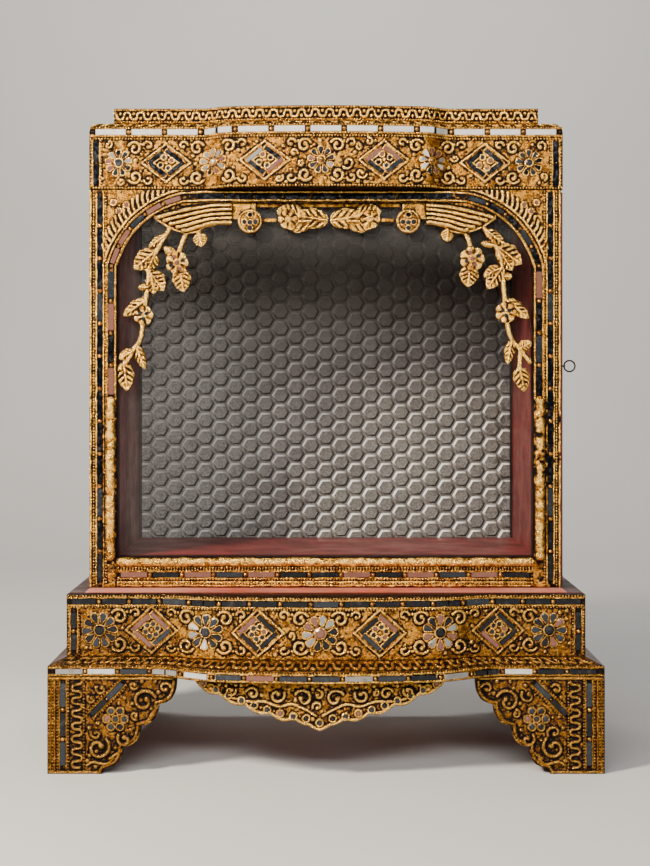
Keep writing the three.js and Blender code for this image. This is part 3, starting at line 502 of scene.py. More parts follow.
def cut_board(name, face, back, x0, x1, z0, z1, outline, lay, node, material, grid=GRID, follows=False):
    """A board sawn to an outline and carved. outline(x, z) is below 0 inside it; lay(relief) carves."""
    xs = np.linspace(x0, x1, max(2, round((x1 - x0) / grid) + 1))
    zs = np.linspace(z0, z1, max(2, round((z1 - z0) / grid) + 1))
    x, z = np.meshgrid(xs, zs, indexing="ij")
    cx, cz = np.meshgrid((xs[1:] + xs[:-1]) / 2, (zs[1:] + zs[:-1]) / 2, indexing="ij")
    kept = outline(cx, cz) < 0
    for _ in range(6):  # no two cells may touch by a corner alone
        a, b, c, d = kept[:-1, :-1], kept[1:, :-1], kept[:-1, 1:], kept[1:, 1:]
        touch = (a & d & ~b & ~c) | (b & c & ~a & ~d)
        if not touch.any():
            break
        for part in ((slice(None, -1), slice(None, -1)), (slice(1, None), slice(None, -1)),
                     (slice(None, -1), slice(1, None)), (slice(1, None), slice(1, None))):
            kept[part] |= touch
    around = np.zeros(x.shape, int)
    for i in (0, 1):
        for j in (0, 1):
            around[i:i + kept.shape[0], j:j + kept.shape[1]] += kept
    rim = (around > 0) & (around < 4)
    px, pz = x.copy(), z.copy()
    for _ in range(3):  # the rim's points are drawn onto the outline
        e = 0.05
        d = outline(px[rim], pz[rim])
        gx = (outline(px[rim] + e, pz[rim]) - outline(px[rim] - e, pz[rim])) / (2 * e)
        gz = (outline(px[rim], pz[rim] + e) - outline(px[rim], pz[rim] - e)) / (2 * e)
        steep = np.maximum(gx * gx + gz * gz, 0.25)
        px[rim] -= d * gx / steep
        pz[rim] -= d * gz / steep
        px[rim] = np.clip(px[rim], x[rim] - 0.8 * grid, x[rim] + 0.8 * grid)
        pz[rim] = np.clip(pz[rim], z[rim] - 0.8 * grid, z[rim] + 0.8 * grid)
    px, pz = np.clip(px, x0, x1), np.clip(pz, z0, z1)
    relief = Relief(px, pz, len(name), 0.25)
    relief.taken = outline(px, pz) > -1.5
    lay(relief)
    h = relief.height
    ridge = hollows(relief, np.where(around > 0, h, h[around > 0].min()))
    used = np.full(x.shape, -1)
    used[around > 0] = np.arange((around > 0).sum())
    front = np.stack([px + face.shift, face.y(px) - h, pz], axis=-1)[around > 0]
    ridge_values = list(ridge[around > 0])
    quads = [(used[i, j], used[i + 1, j], used[i + 1, j + 1], used[i, j + 1])
             for i, j in zip(*np.nonzero(kept))]
    shape = bmesh.new()
    verts = [shape.verts.new(p * MM) for p in front]
    for q in quads:
        shape.faces.new([verts[k] for k in q]).smooth = True
    shape.verts.index_update()
    edges = [e for e in shape.edges if len(e.link_faces) == 1]
    pairs = {}
    for e in edges:
        for v in e.verts:
            if v not in pairs:
                depth = back - (bow(v.co.x / MM - face.shift, face.shape) if follows else 0)
                pairs[v] = shape.verts.new((v.co.x, depth * MM, v.co.z))
                ridge_values.append(UNGILDED)
    behind = []
    for e in edges:
        a, b = e.verts
        shape.faces.new((a, b, pairs[b], pairs[a]))
        behind.append(shape.edges.get((pairs[a], pairs[b])))
    bmesh.ops.triangle_fill(shape, use_beauty=True, use_dissolve=False, edges=behind, normal=(0, 1, 0))
    mesh = bpy.data.meshes.new(name)
    shape.to_mesh(mesh)
    shape.free()
    add_attribute(mesh, "ridge", ridge_values)
    return dress(new_object(name, mesh), material, face.body, [node])


# Geometry Nodes: stones and studs set on points, beads strung on lines, and the hexagon sheet


def add(tree, kind, settings=None, inputs=None):
    """Adds a node, with its settings, and its inputs as values or as links from other nodes' sockets."""
    made = tree.nodes.new(kind)
    for key, value in (settings or {}).items():
        setattr(made, key, value)
    for key, value in (inputs or {}).items():
        if isinstance(value, bpy.types.NodeSocket):
            tree.links.new(value, made.inputs[key])
        else:
            made.inputs[key].default_value = value
    return made


def node_group(name, sockets):
    """An empty tree with a geometry in and out, and these named inputs."""
    tree = bpy.data.node_groups.new(name, "GeometryNodeTree")
    tree.interface.new_socket("Geometry", in_out="INPUT", socket_type="NodeSocketGeometry")
    for label, kind in sockets:
        tree.interface.new_socket(label, in_out="INPUT", socket_type=kind)
    tree.interface.new_socket("Geometry", in_out="OUTPUT", socket_type="NodeSocketGeometry")
    return tree, tree.nodes.new("NodeGroupInput")


def grow(name, mesh, tree, values):
    """Runs a tree on a mesh and gives back a plain object of what it makes."""
    seed = new_object(name + "_points", mesh)
    modifier = seed.modifiers.new("grow", "NODES")
    modifier.node_group = tree
    for item in tree.interface.items_tree:
        if item.in_out == "INPUT" and item.name in values:
            modifier[item.identifier] = values[item.name]
    bpy.context.view_layer.update()
    shown = seed.evaluated_get(bpy.context.evaluated_depsgraph_get())
    made = new_object(name, bpy.data.meshes.new_from_object(shown))
    bpy.data.objects.remove(seed)
    return made


def realise(tree, given, placed):
    """Ends a tree: instances become plain mesh in the given material."""
    real = add(tree, "GeometryNodeRealizeInstances", None, {"Geometry": placed.outputs["Instances"]})
    done = add(tree, "GeometryNodeSetMaterial", None, {
        "Geometry": real.outputs["Geometry"], "Material": given.outputs["Material"]})
    add(tree, "NodeGroupOutput", None, {"Geometry": done.outputs["Geometry"]})
    return tree


def setting_tree():
    """Sets one stone on each point, turned and sized as the point says."""
    tree, given = node_group("set_stones", [("Stone", "NodeSocketObject"),
                                            ("Material", "NodeSocketMaterial")])
    stone = add(tree, "GeometryNodeObjectInfo", {"transform_space": "ORIGINAL"},
                {"Object": given.outputs["Stone"]})
    turn = add(tree, "GeometryNodeInputNamedAttribute", {"data_type": "FLOAT_VECTOR"}, {"Name": "turn"})
    size = add(tree, "GeometryNodeInputNamedAttribute", {"data_type": "FLOAT_VECTOR"}, {"Name": "size"})
    placed = add(tree, "GeometryNodeInstanceOnPoints", None, {
        "Points": given.outputs["Geometry"], "Instance": stone.outputs["Geometry"],
        "Rotation": turn.outputs["Attribute"], "Scale": size.outputs["Attribute"]})
    return realise(tree, given, placed)


def stringing_tree():
    """Strings small balls along lines at an even pitch, each a little different in size."""
    tree, given = node_group("string_beads", [("Radius", "NodeSocketFloat"), ("Pitch", "NodeSocketFloat"),
                                              ("Seed", "NodeSocketInt"), ("Material", "NodeSocketMaterial")])
    line = add(tree, "GeometryNodeMeshToCurve", None, {"Mesh": given.outputs["Geometry"]})
    spaced = add(tree, "GeometryNodeResampleCurve", {"mode": "LENGTH"},
                 {"Curve": line.outputs["Curve"], "Length": given.outputs["Pitch"]})
    ball = add(tree, "GeometryNodeMeshUVSphere", None,
               {"Segments": 6, "Rings": 4, "Radius": given.outputs["Radius"]})
    ball_smooth = add(tree, "GeometryNodeSetShadeSmooth", None, {"Geometry": ball.outputs["Mesh"]})
    size = add(tree, "FunctionNodeRandomValue", {"data_type": "FLOAT"},
               {2: 0.78, 3: 1.12, "Seed": given.outputs["Seed"]})
    placed = add(tree, "GeometryNodeInstanceOnPoints", None, {
        "Points": spaced.outputs["Curve"], "Instance": ball_smooth.outputs["Geometry"],
        "Scale": size.outputs[1]})
    return realise(tree, given, placed)


def stone_shape(kind):
    """One stone of unit size, seen from the front (-y), its back at y = 0."""
    if kind == "stud":
        mesh = bpy.data.meshes.new(kind)
        shape = bmesh.new()
        bmesh.ops.create_uvsphere(shape, u_segments=10, v_segments=6, radius=0.5)
        for face in shape.faces:
            face.smooth = True
        shape.to_mesh(mesh)
        shape.free()
        return mesh
    outline = {
        "tile": [(0.5, 0.5), (-0.5, 0.5), (-0.5, -0.5), (0.5, -0.5)],
        "petal": [(u / 2, v / 2) for u, v in TEARDROP],
        "disc": [(0.5 * math.cos(a), 0.5 * math.sin(a)) for a in np.arange(10) * math.pi / 5],
    }[kind]
    if kind != "tile" and sum(a[0] * b[1] - b[0] * a[1] for a, b in zip(outline, outline[1:])) < 0:
        outline = outline[::-1]
    inset = {"tile": (0.97, 0.82), "petal": (0.82, 0.78), "disc": (0.7, 0.7)}[kind]
    levels = [(1, 1, 0.4), (1, 1, -0.62), (inset[0], inset[1], -1.0)]
    verts = [(a * sx, y, b * sz) for sx, sz, y in levels for a, b in outline]
    count = len(outline)
    faces = [tuple(range(count)), tuple(2 * count + k for k in reversed(range(count)))]
    for level in (0, 1):
        for k in range(count):
            n = (k + 1) % count
            faces.append((level * count + k, (level + 1) * count + k,
                          (level + 1) * count + n, level * count + n))
    mesh = bpy.data.meshes.new(kind)
    mesh.from_pydata(verts, [], faces)
    return mesh


STONE_NAMES = {"tile": "glass_tiles_", "petal": "glass_petals_", "disc": "glass_dots_", "stud": "ball_studs_"}


def set_all_stones(materials):
    tree = setting_tree()
    for (kind, body), placed in stones.items():
        mesh = bpy.data.meshes.new(kind + "_points")
        mesh.from_pydata([tuple(v * MM for v in spot) for spot, _, _, _ in placed], [], [])
        mesh.attributes.new("size", "FLOAT_VECTOR", "POINT").data.foreach_set(
            "vector", [v * MM for _, size, _, _ in placed for v in size])
        mesh.attributes.new("turn", "FLOAT_VECTOR", "POINT").data.foreach_set(
            "vector", [v for _, _, turn, _ in placed for v in turn])
        add_attribute(mesh, "tone", [tone for *_, tone in placed])
        pattern = new_object(kind + "_pattern", stone_shape(kind))
        made = grow(STONE_NAMES[kind] + body, mesh, tree, {"Stone": pattern, "Material": materials[kind]})
        bpy.data.objects.remove(pattern)
        dress(made, materials[kind], body)


def string_all_beads(material):
    tree = stringing_tree()
    for body, lines in rows.items():
        verts, edges = [], []
        for line in lines:
            first = len(verts)
            verts += [tuple(v * MM for v in p) for p in line]
            edges += [(k, k + 1) for k in range(first, len(verts) - 1)]
        mesh = bpy.data.meshes.new("bead_lines")
        mesh.from_pydata(verts, edges, [])
        made = grow("bead_rows_" + body, mesh, tree, {
            "Radius": BEAD * MM, "Pitch": BEAD_PITCH * MM, "Seed": 3, "Material": material})
        # a fixed ridge value: every bead takes part of the gilt's painted highlight
        add_attribute(made.data, "ridge", [0.72] * len(made.data.vertices))
        dress(made, material, body)


# Finishes


def hexcolour(value):
    """An sRGB hex value as linear colour."""
    parts = [int(value[i:i + 2], 16) / 255 for i in (1, 3, 5)]
    return tuple(c / 12.92 if c < 0.04045 else ((c + 0.055) / 1.055) ** 2.4 for c in parts) + (1.0,)


def new_material(name):
    made = bpy.data.materials.new(name)
    made.use_nodes = True
    made.node_tree.nodes.clear()
    return made, made.node_tree


def finish(tree, shader):
    add(tree, "ShaderNodeOutputMaterial", None, {"Surface": shader.outputs[0]})


def noise(tree, where, size, detail=3.0, rough=0.55):
    """Noise with lumps of about this many mm."""
    return add(tree, "ShaderNodeTexNoise", None, {
        "Vector": where, "Scale": 1000 / size, "Detail": detail, "Roughness": rough}).outputs["Fac"]


def ramp(tree, value, low, high, to_low=0.0, to_high=1.0):
    """An eased rise from one value to another as the given one goes from low to high."""
    return add(tree, "ShaderNodeMapRange", {"interpolation_type": "SMOOTHSTEP"}, {
        "Value": value, "From Min": low, "From Max": high, "To Min": to_low, "To Max": to_high}).outputs[0]


def blend(tree, factor, a, b, how="MIX"):
    return add(tree, "ShaderNodeMix", {"data_type": "RGBA", "blend_type": how},
               {0: factor, 6: a, 7: b}).outputs[2]


def maths(tree, how, a, b):
    return add(tree, "ShaderNodeMath", {"operation": how, "use_clamp": True}, {0: a, 1: b}).outputs[0]


def place(tree):
    """The point on the object, in the frame's metres."""
    return add(tree, "ShaderNodeTexCoord").outputs["Object"]


def gilded_lacquer():
    """Gold leaf over red and black lacquer on moulded putty: warm metal with a painted highlight on the
    ridges, orange-red where it is worn through, nearly black in the hollows with old grime and painted shade,
    and browner low at the sides."""
    made, tree = new_material("gilded_lacquer")
    where = place(tree)
    ridge = add(tree, "ShaderNodeAttribute", {"attribute_name": "ridge"}).outputs["Fac"]
    broad = noise(tree, where, 60, 2)
    patch = noise(tree, where, 7, 4)
    speck = noise(tree, where, 1.7, 3, 0.7)
    leaf = blend(tree, ramp(tree, patch, 0.38, 0.62), hexcolour("#744810"), hexcolour("#E2A23A"))
    leaf = blend(tree, ramp(tree, broad, 0.35, 0.7, 0, 0.45), leaf, hexcolour("#B8761F"))
    # painted highlight: the ridges are painted pale gold
    leaf = blend(tree, ramp(tree, ridge, 0.56, 0.9, 0, 0.9), leaf, hexcolour("#FFCE68"))
    x, _, height = add(tree, "ShaderNodeSeparateXYZ", None, {0: where}).outputs
    aside = ramp(tree, maths(tree, "MULTIPLY", x, x), 0.006, 0.026, 0.25, 1.0)
    low_down = maths(tree, "MULTIPLY", ramp(tree, height, 0.06, 0.26, 1, 0), aside)
    leaf = blend(tree, maths(tree, "MULTIPLY", low_down, 0.72), leaf, hexcolour("#673C0E"))
    rubbed = ramp(tree, noise(tree, where, 5, 5, 0.7), 0.58, 0.68)
    rubbed = maths(tree, "MULTIPLY", rubbed, ramp(tree, ridge, 0.4, 0.6))
    rubbed = maths(tree, "MULTIPLY", rubbed, ramp(tree, broad, 0.3, 0.6, 0.35, 0.9))
    colour = blend(tree, rubbed, leaf, hexcolour("#9A4A1E"))
    uneven = ramp(tree, speck, 0.3, 0.7, -0.18, 0.14)
    hollow = maths(tree, "ADD", ridge, uneven)
    tarnish = ramp(tree, noise(tree, where, 13, 5, 0.65), 0.5, 0.72, 0, 0.13)
    # grime and painted shade: the hollows and creases are painted nearly black
    grime_and_shade = ramp(tree, maths(tree, "SUBTRACT", hollow, tarnish), 0.15, 0.42, 1, 0)
    colour = blend(tree, grime_and_shade, colour, hexcolour("#0C0503"))
    behind = ramp(tree, ridge, -1.6, -0.4, 1, 0)
    colour = blend(tree, behind, colour, blend(tree, patch, hexcolour("#3A1712"), hexcolour("#5E2A20")))
    bare = maths(tree, "MAXIMUM", maths(tree, "MAXIMUM", rubbed, maths(tree, "MULTIPLY", grime_and_shade, 0.9)), behind)
    metal = maths(tree, "SUBTRACT", 1.0, bare)
    bump = add(tree, "ShaderNodeBump", None, {
        "Strength": 1.0, "Distance": 0.0014, "Height": speck}).outputs[0]
    rough = ramp(tree, patch, 0.3, 0.7, 0.18, 0.34)
    rough = maths(tree, "ADD", rough, maths(tree, "MULTIPLY", bare, 0.35))
    shader = add(tree, "ShaderNodeBsdfPrincipled", None, {
        "Base Color": colour, "Metallic": metal, "Roughness": rough, "Normal": bump,
        "Specular IOR Level": maths(tree, "SUBTRACT", 0.5, maths(tree, "MULTIPLY", grime_and_shade, 0.4))})
    finish(tree, shader)
    return made


def mirror_glass():
    """Thin mirrored glass with its silvering partly gone: blue-black, smoke grey, milky or pink, still
    glossy, with dull brown flaws."""
    made, tree = new_material("mirror_glass")
    where = place(tree)
    tone = add(tree, "ShaderNodeAttribute", {"attribute_name": "tone"}).outputs["Fac"]
    kinds = add(tree, "ShaderNodeValToRGB", None, {"Fac": tone})
    kinds.color_ramp.interpolation = "CONSTANT"
    stops = [(0.0, "#070A0F"), (0.2, "#272C31"), (0.4, "#8C8880"), (0.6, "#7C5346"), (0.8, "#D2CDC5")]
    elements = kinds.color_ramp.elements
    while len(elements) < len(stops):
        elements.new(0.9)
    for element, (at, value) in zip(elements, stops):
        element.position = at
        element.color = hexcolour(value)
    flaw = noise(tree, where, 4, 5, 0.7)
    colour = blend(tree, ramp(tree, flaw, 0.5, 0.75, 0, 0.75), kinds.outputs["Color"], hexcolour("#3A2B22"))
    bloom = ramp(tree, noise(tree, where, 7, 2), 0.55, 0.75, 0, 0.07)
    colour = blend(tree, bloom, colour, hexcolour("#8C9090"))
    shader = add(tree, "ShaderNodeBsdfPrincipled", None, {
        "Base Color": colour, "Metallic": 0.25, "Roughness": ramp(tree, flaw, 0.35, 0.75, 0.08, 0.38),
        "IOR": 1.45})
    finish(tree, shader)
    return made


def old_metal_stud():
    """Small balls of gilt metal gone brown: dark with a bright spot of worn gold. A few are silvered."""
    made, tree = new_material("gilt_stud")
    where = place(tree)
    wear = noise(tree, where, 3, 3)
    colour = blend(tree, ramp(tree, wear, 0.4, 0.62), hexcolour("#6E4826"), hexcolour("#D6A04E"))
    tone = add(tree, "ShaderNodeAttribute", {"attribute_name": "tone"}).outputs["Fac"]
    colour = blend(tree, ramp(tree, tone, 0.7, 0.72), colour, hexcolour("#D9D6CE"))
    shader = add(tree, "ShaderNodeBsdfPrincipled", None, {
        "Base Color": colour, "Metallic": 0.9, "Roughness": ramp(tree, wear, 0.3, 0.7, 0.36, 0.18)})
    finish(tree, shader)
    return made


def lacquered_wood(name, body, worn, dust, dusty, gloss=0.42):
    """Brushed lacquer on planed wood, a little uneven, rubbed to the under coat and filmed with dust."""
    made, tree = new_material(name)
    where = place(tree)
    grain_way = add(tree, "ShaderNodeMapping", None, {"Vector": where, "Scale": (0.12, 0.12, 1.0)}).outputs[0]
    grain = noise(tree, grain_way, 3.5, 4, 0.6)
    patch = noise(tree, where, 45, 4, 0.6)
    colour = blend(tree, ramp(tree, patch, 0.35, 0.68), hexcolour(body), hexcolour(worn))
    colour = blend(tree, ramp(tree, grain, 0.35, 0.7, 0, 0.45), colour, hexcolour("#2A1410"))
    streaks = noise(tree, grain_way, 14, 5, 0.65)
    film = maths(tree, "MULTIPLY", ramp(tree, streaks, 0.35, 0.7), dusty)
    colour = blend(tree, film, colour, hexcolour(dust))
    scuff = ramp(tree, noise(tree, where, 6, 5, 0.75), 0.68, 0.76, 0, 0.7)
    colour = blend(tree, scuff, colour, hexcolour("#1E120D"))
    bump = add(tree, "ShaderNodeBump", None, {
        "Strength": 0.35, "Distance": 0.0005, "Height": grain}).outputs[0]
    shader = add(tree, "ShaderNodeBsdfPrincipled", None, {
        "Base Color": colour, "Roughness": ramp(tree, patch, 0.3, 0.7, gloss, gloss + 0.25), "Normal": bump,
        "Specular IOR Level": 0.4})
    finish(tree, shader)
    return made


def pressed_sheet():
    """Thin silvered sheet pressed with hexagons: granular grey pads, a painted highlight on the bevels that
    face up and left and painted shade on those facing down and right, dark lines between, painted paler at
    the left and darker at the top and middle as painted light and shadow, and dirty along its right edge."""
    made, tree = new_material("pressed_silvered_sheet")
    where = place(tree)
    grit = noise(tree, where, 1.6, 3, 0.7)
    painted_bevel_light = add(tree, "ShaderNodeAttribute", {"attribute_name": "painted_bevel_light"}).outputs["Fac"]
    patch = noise(tree, where, 30, 4, 0.6)
    x, _, z = add(tree, "ShaderNodeSeparateXYZ", None, {0: where}).outputs
    colour = blend(tree, ramp(tree, patch, 0.3, 0.7), hexcolour("#7A766F"), hexcolour("#8E8A82"))
    # painted light: the sheet's left side is painted paler, against the shadow that the door's left side
    # casts there
    colour = blend(tree, ramp(tree, x, -0.19, -0.04, 0.42, 0), colour, hexcolour("#D8D4CC"))
    colour = blend(tree, ramp(tree, grit, 0.38, 0.62, 0.7, 0), colour, hexcolour("#3E3A36"))
    # painted highlight on the bevels facing up and left, painted shade on those facing down and right, and
    # dark lines between hexagons
    colour = blend(tree, ramp(tree, painted_bevel_light, 0.1, 0.9), colour, hexcolour("#FBF8F0"))
    colour = blend(tree, ramp(tree, painted_bevel_light, -0.8, 0, 0.95, 0), colour, hexcolour("#1A1613"))
    # painted shade: the sheet's top and middle are painted darker, as the shadow under the cornice
    shade = maths(tree, "MULTIPLY", ramp(tree, z, 0.24, 0.5), ramp(tree, x, -0.17, -0.04, 0.2, 0.85))
    colour = blend(tree, shade, colour, hexcolour("#3A302B"))
    blotches = ramp(tree, noise(tree, where, 14, 5, 0.7), 0.5, 0.64)
    edge = maths(tree, "MULTIPLY", ramp(tree, x, 0.15, 0.195), blotches)
    colour = blend(tree, maths(tree, "MULTIPLY", edge, 0.75), colour, hexcolour("#17120F"))
    bump = add(tree, "ShaderNodeBump", None, {
        "Strength": 0.9, "Distance": 0.0009, "Height": grit}).outputs[0]
    shader = add(tree, "ShaderNodeBsdfPrincipled", None, {
        "Base Color": colour, "Metallic": 0.4, "Roughness": ramp(tree, grit, 0.3, 0.7, 0.32, 0.5),
        "Normal": bump})
    finish(tree, shader)
    return made


def dusty_glass():
    """Old window glass: see-through, with a thin film of dust that greys its top and left edge."""
    made, tree = new_material("dusty_clear_glass")
    where = place(tree)
    x, _, z = add(tree, "ShaderNodeSeparateXYZ", None, {0: where}).outputs
    film = ramp(tree, noise(tree, where, 90, 5, 0.6), 0.3, 0.8, 0, 0.12)
    top = ramp(tree, z, 0.46, 0.53)
    left = ramp(tree, x, -0.195, -0.12, 1, 0)
    edge = maths(tree, "MAXIMUM", top, maths(tree, "MULTIPLY", left, 0.35))
    dust = maths(tree, "ADD", film, maths(tree, "MULTIPLY", edge, 0.45))
    colour = blend(tree, dust, hexcolour("#0B0B0B"), hexcolour("#D8D4CC"))
    shader = add(tree, "ShaderNodeBsdfPrincipled", None, {
        "Base Color": colour, "Roughness": 0.12, "IOR": 1.52, "Alpha": 0.07})
    finish(tree, shader)
    return made


def old_iron():
    """Wrought iron gone dark brown, dull, with a little rust."""
    made, tree = new_material("dark_iron")
    where = place(tree)
    rust = noise(tree, where, 3, 5, 0.7)
    colour = blend(tree, ramp(tree, rust, 0.5, 0.68), hexcolour("#2C2724"), hexcolour("#5A3A28"))
    shader = add(tree, "ShaderNodeBsdfPrincipled", None, {
        "Base Color": colour, "Metallic": 0.7, "Roughness": ramp(tree, rust, 0.35, 0.7, 0.42, 0.75)})
    finish(tree, shader)
    return made


gilt = gilded_lacquer()
glass_stone = mirror_glass()
stud_metal = old_metal_stud()
red_wood = lacquered_wood("red_lacquer_wood", "#CE5A47", "#A34233", "#DB9A88", 0.6)
inner_wood = lacquered_wood("inner_red_lacquer", "#8E2E2A", "#6A2524", "#8A5A50", 0.3, 0.36)
dark_wood = lacquered_wood("dark_lacquer_wood", "#43201A", "#2B1511", "#5E4A40", 0.22, 0.36)
silvered = pressed_sheet()
clear = dusty_glass()
iron = old_iron()


# The carved fronts


CARVED_GRID = 0.72


def grid_lines(low, high, step=GRID):
    return np.linspace(low, high, max(2, round((high - low) / step) + 1))


def scrolls_round(relief, x, z, size, half):
    """The scrolls at the four corners of a flower: a big and a small one, each given as how far out and
    up it sits, and its radius. None goes past half the board."""
    for side in (-1, 1):
        for up in (-1, 1):
            out, rise, radius = size["big"]
            if abs(x + side * out) > half - radius:
                continue
            start = math.pi * (1 if side > 0 else 0) - side * up * 0.5
            relief.curl(x + side * out, z + up * rise, radius, start, -side * up * 6.8)
            out, rise, radius = size["small"]
            if abs(x + side * out) > half - radius:
                continue
            start = math.pi * (1 if side > 0 else 0) - side * up * 0.2
            relief.curl(x + side * out, z + up * rise, radius, start, -side * up * 4.6, THREAD * 0.9, 1.8)
            relief.dome(x + side * (out - radius * 1.6), z + up * rise * 1.08, 1.5, 1.5)


def base_frieze():
    face = Face("shrine", base_face, BASE_BOW)
    xs, zs = grid_lines(*base_x, CARVED_GRID), grid_lines(*base_z, CARVED_GRID)
    relief = Relief(*np.meshgrid(xs, zs, indexing="ij"), 11)
    tiles_z = base_z[1] - 6.3
    middle = base_z[0] + 24
    half = base_x[1] - 9
    flowers = [(-208, 0.1), (-110, 0.4), (-5.4, 0.2), (104, 0.5), (205, 0.0)]
    bosses = [("disc", 4.6, DARK), ("disc", 4.4, GREY), ("disc", 5.0, PINK), ("disc", 4.6, DARK),
              ("disc", 4.6, DARK)]
    size = {"big": (18.0, 12.5, 7.4), "small": (33.0, 15.5, 4.8)}
    mixes = ((7, 3, 1, 0, 0), (4, 3, 2, 0, 1), (3, 1, 1, 4, 0), (2, 2, 4, 2, 1), (2, 4, 1, 3, 0))
    for (x, turn), boss, mix in zip(flowers, bosses, mixes):
        mirror_flower(face, relief, x, middle, 16.2, 10, tones_of(*mix), boss, turn)
        scrolls_round(relief, x, middle, size, half)
    bars = ([PINK, PINK, PINK, GREY], [DARK, PINK, DARK, DARK], [PINK, DARK, GREY, DARK],
            [DARK, DARK, PINK, DARK])
    for x, tones in zip((-160.5, -61.8, 48.9, 158), bars):
        lozenge(face, relief, x, middle, 21.5, 19.4, tones, 6)
    tile_run(face, relief, (base_x[0] + 2, tiles_z), (base_x[1] - 2, tiles_z), 5.6,
             [DARK, DARK, DARK, GREY, DARK])
    for z in (base_z[1] - 1.4, tiles_z - 5.0):
        face.beads([(base_x[0] + 1.2, z), (base_x[1] - 1.2, z)], relief)
    for side in (-1, 1):
        x = side * (base_x[1] - 6.6)
        tile_run(face, relief, (x, base_z[0] + 3), (x, base_z[0] + 43), 5.4, [DARK, DARK], 17)
        for off in (1.8, 11.4):
            x = side * (base_x[1] - off)
            face.beads([(x, base_z[0] + 2), (x, tiles_z - 6)], relief)
    relief.fill((-half, base_z[0] + 2), (half, tiles_z - 6), 22)
    relief.pits(0.3, 2.6, 21)
    front_board("carved_base_frieze", face, base_y[1], xs, zs, relief, "x", "base_frieze", gilt)


def cornice_frieze():
    face = Face("shrine", cornice_face, CORNICE_BOW)
    xs, zs = grid_lines(*cornice_x, CARVED_GRID), grid_lines(*cornice_z, CARVED_GRID)
    relief = Relief(*np.meshgrid(xs, zs, indexing="ij"), 31)
    middle = (cornice_z[0] + cornice_z[1]) / 2 + 0.5
    half = cornice_x[1] - 10
    bosses = [("disc", 3.6, GREY), ("stud", 2.9, 0.9), ("stud", 3.2, 0.2), ("stud", 2.8, 0.4),
              ("disc", 3.2, DARK)]
    size = {"big": (15.5, 13.5, 6.6), "small": (28.5, 16.0, 4.6)}
    mixes = ((3, 5, 1, 1, 0), (1, 1, 4, 2, 1), (4, 3, 1, 1, 0), (0, 1, 3, 3, 2), (3, 5, 1, 0, 0))
    for x, boss, mix in zip((-197, -107, -4.5, 100.5, 193), bosses, mixes):
        mirror_flower(face, relief, x, middle, 12.6, 9, tones_of(*mix), boss)
        scrolls_round(relief, x, middle, size, half)
    bars = ([DARK] * 4, [DARK, PALE, DARK, PINK], [PINK, PINK, DARK, GREY], [DARK] * 4)
    for x, tones in zip((-152, -57.5, 54.5, 151), bars):
        lozenge(face, relief, x, middle, 21.0, 16.2, tones, 4)
    for z in (cornice_z[0] + 1.4, cornice_z[1] - 1.3):
        face.beads([(cornice_x[0] + 1, z), (cornice_x[1] - 1, z)], relief)
    for side in (-1, 1):
        x = side * (cornice_x[1] - 6.6)
        tile_run(face, relief, (x, cornice_z[0] + 3.5), (x, cornice_z[1] - 3), 5.6, [DARK, DARK], 20, 1.2)
        for off in (2.0, 11.4):
            x = side * (cornice_x[1] - off)
            face.beads([(x, cornice_z[0] + 3), (x, cornice_z[1] - 3)], relief)
    relief.fill((-half, cornice_z[0] + 3), (half, cornice_z[1] - 3), 42)
    relief.pits(0.3, 2.6, 41)
    front_board("carved_cornice_frieze", face, cornice_y[1], xs, zs, relief, "x", "cornice_frieze", gilt)


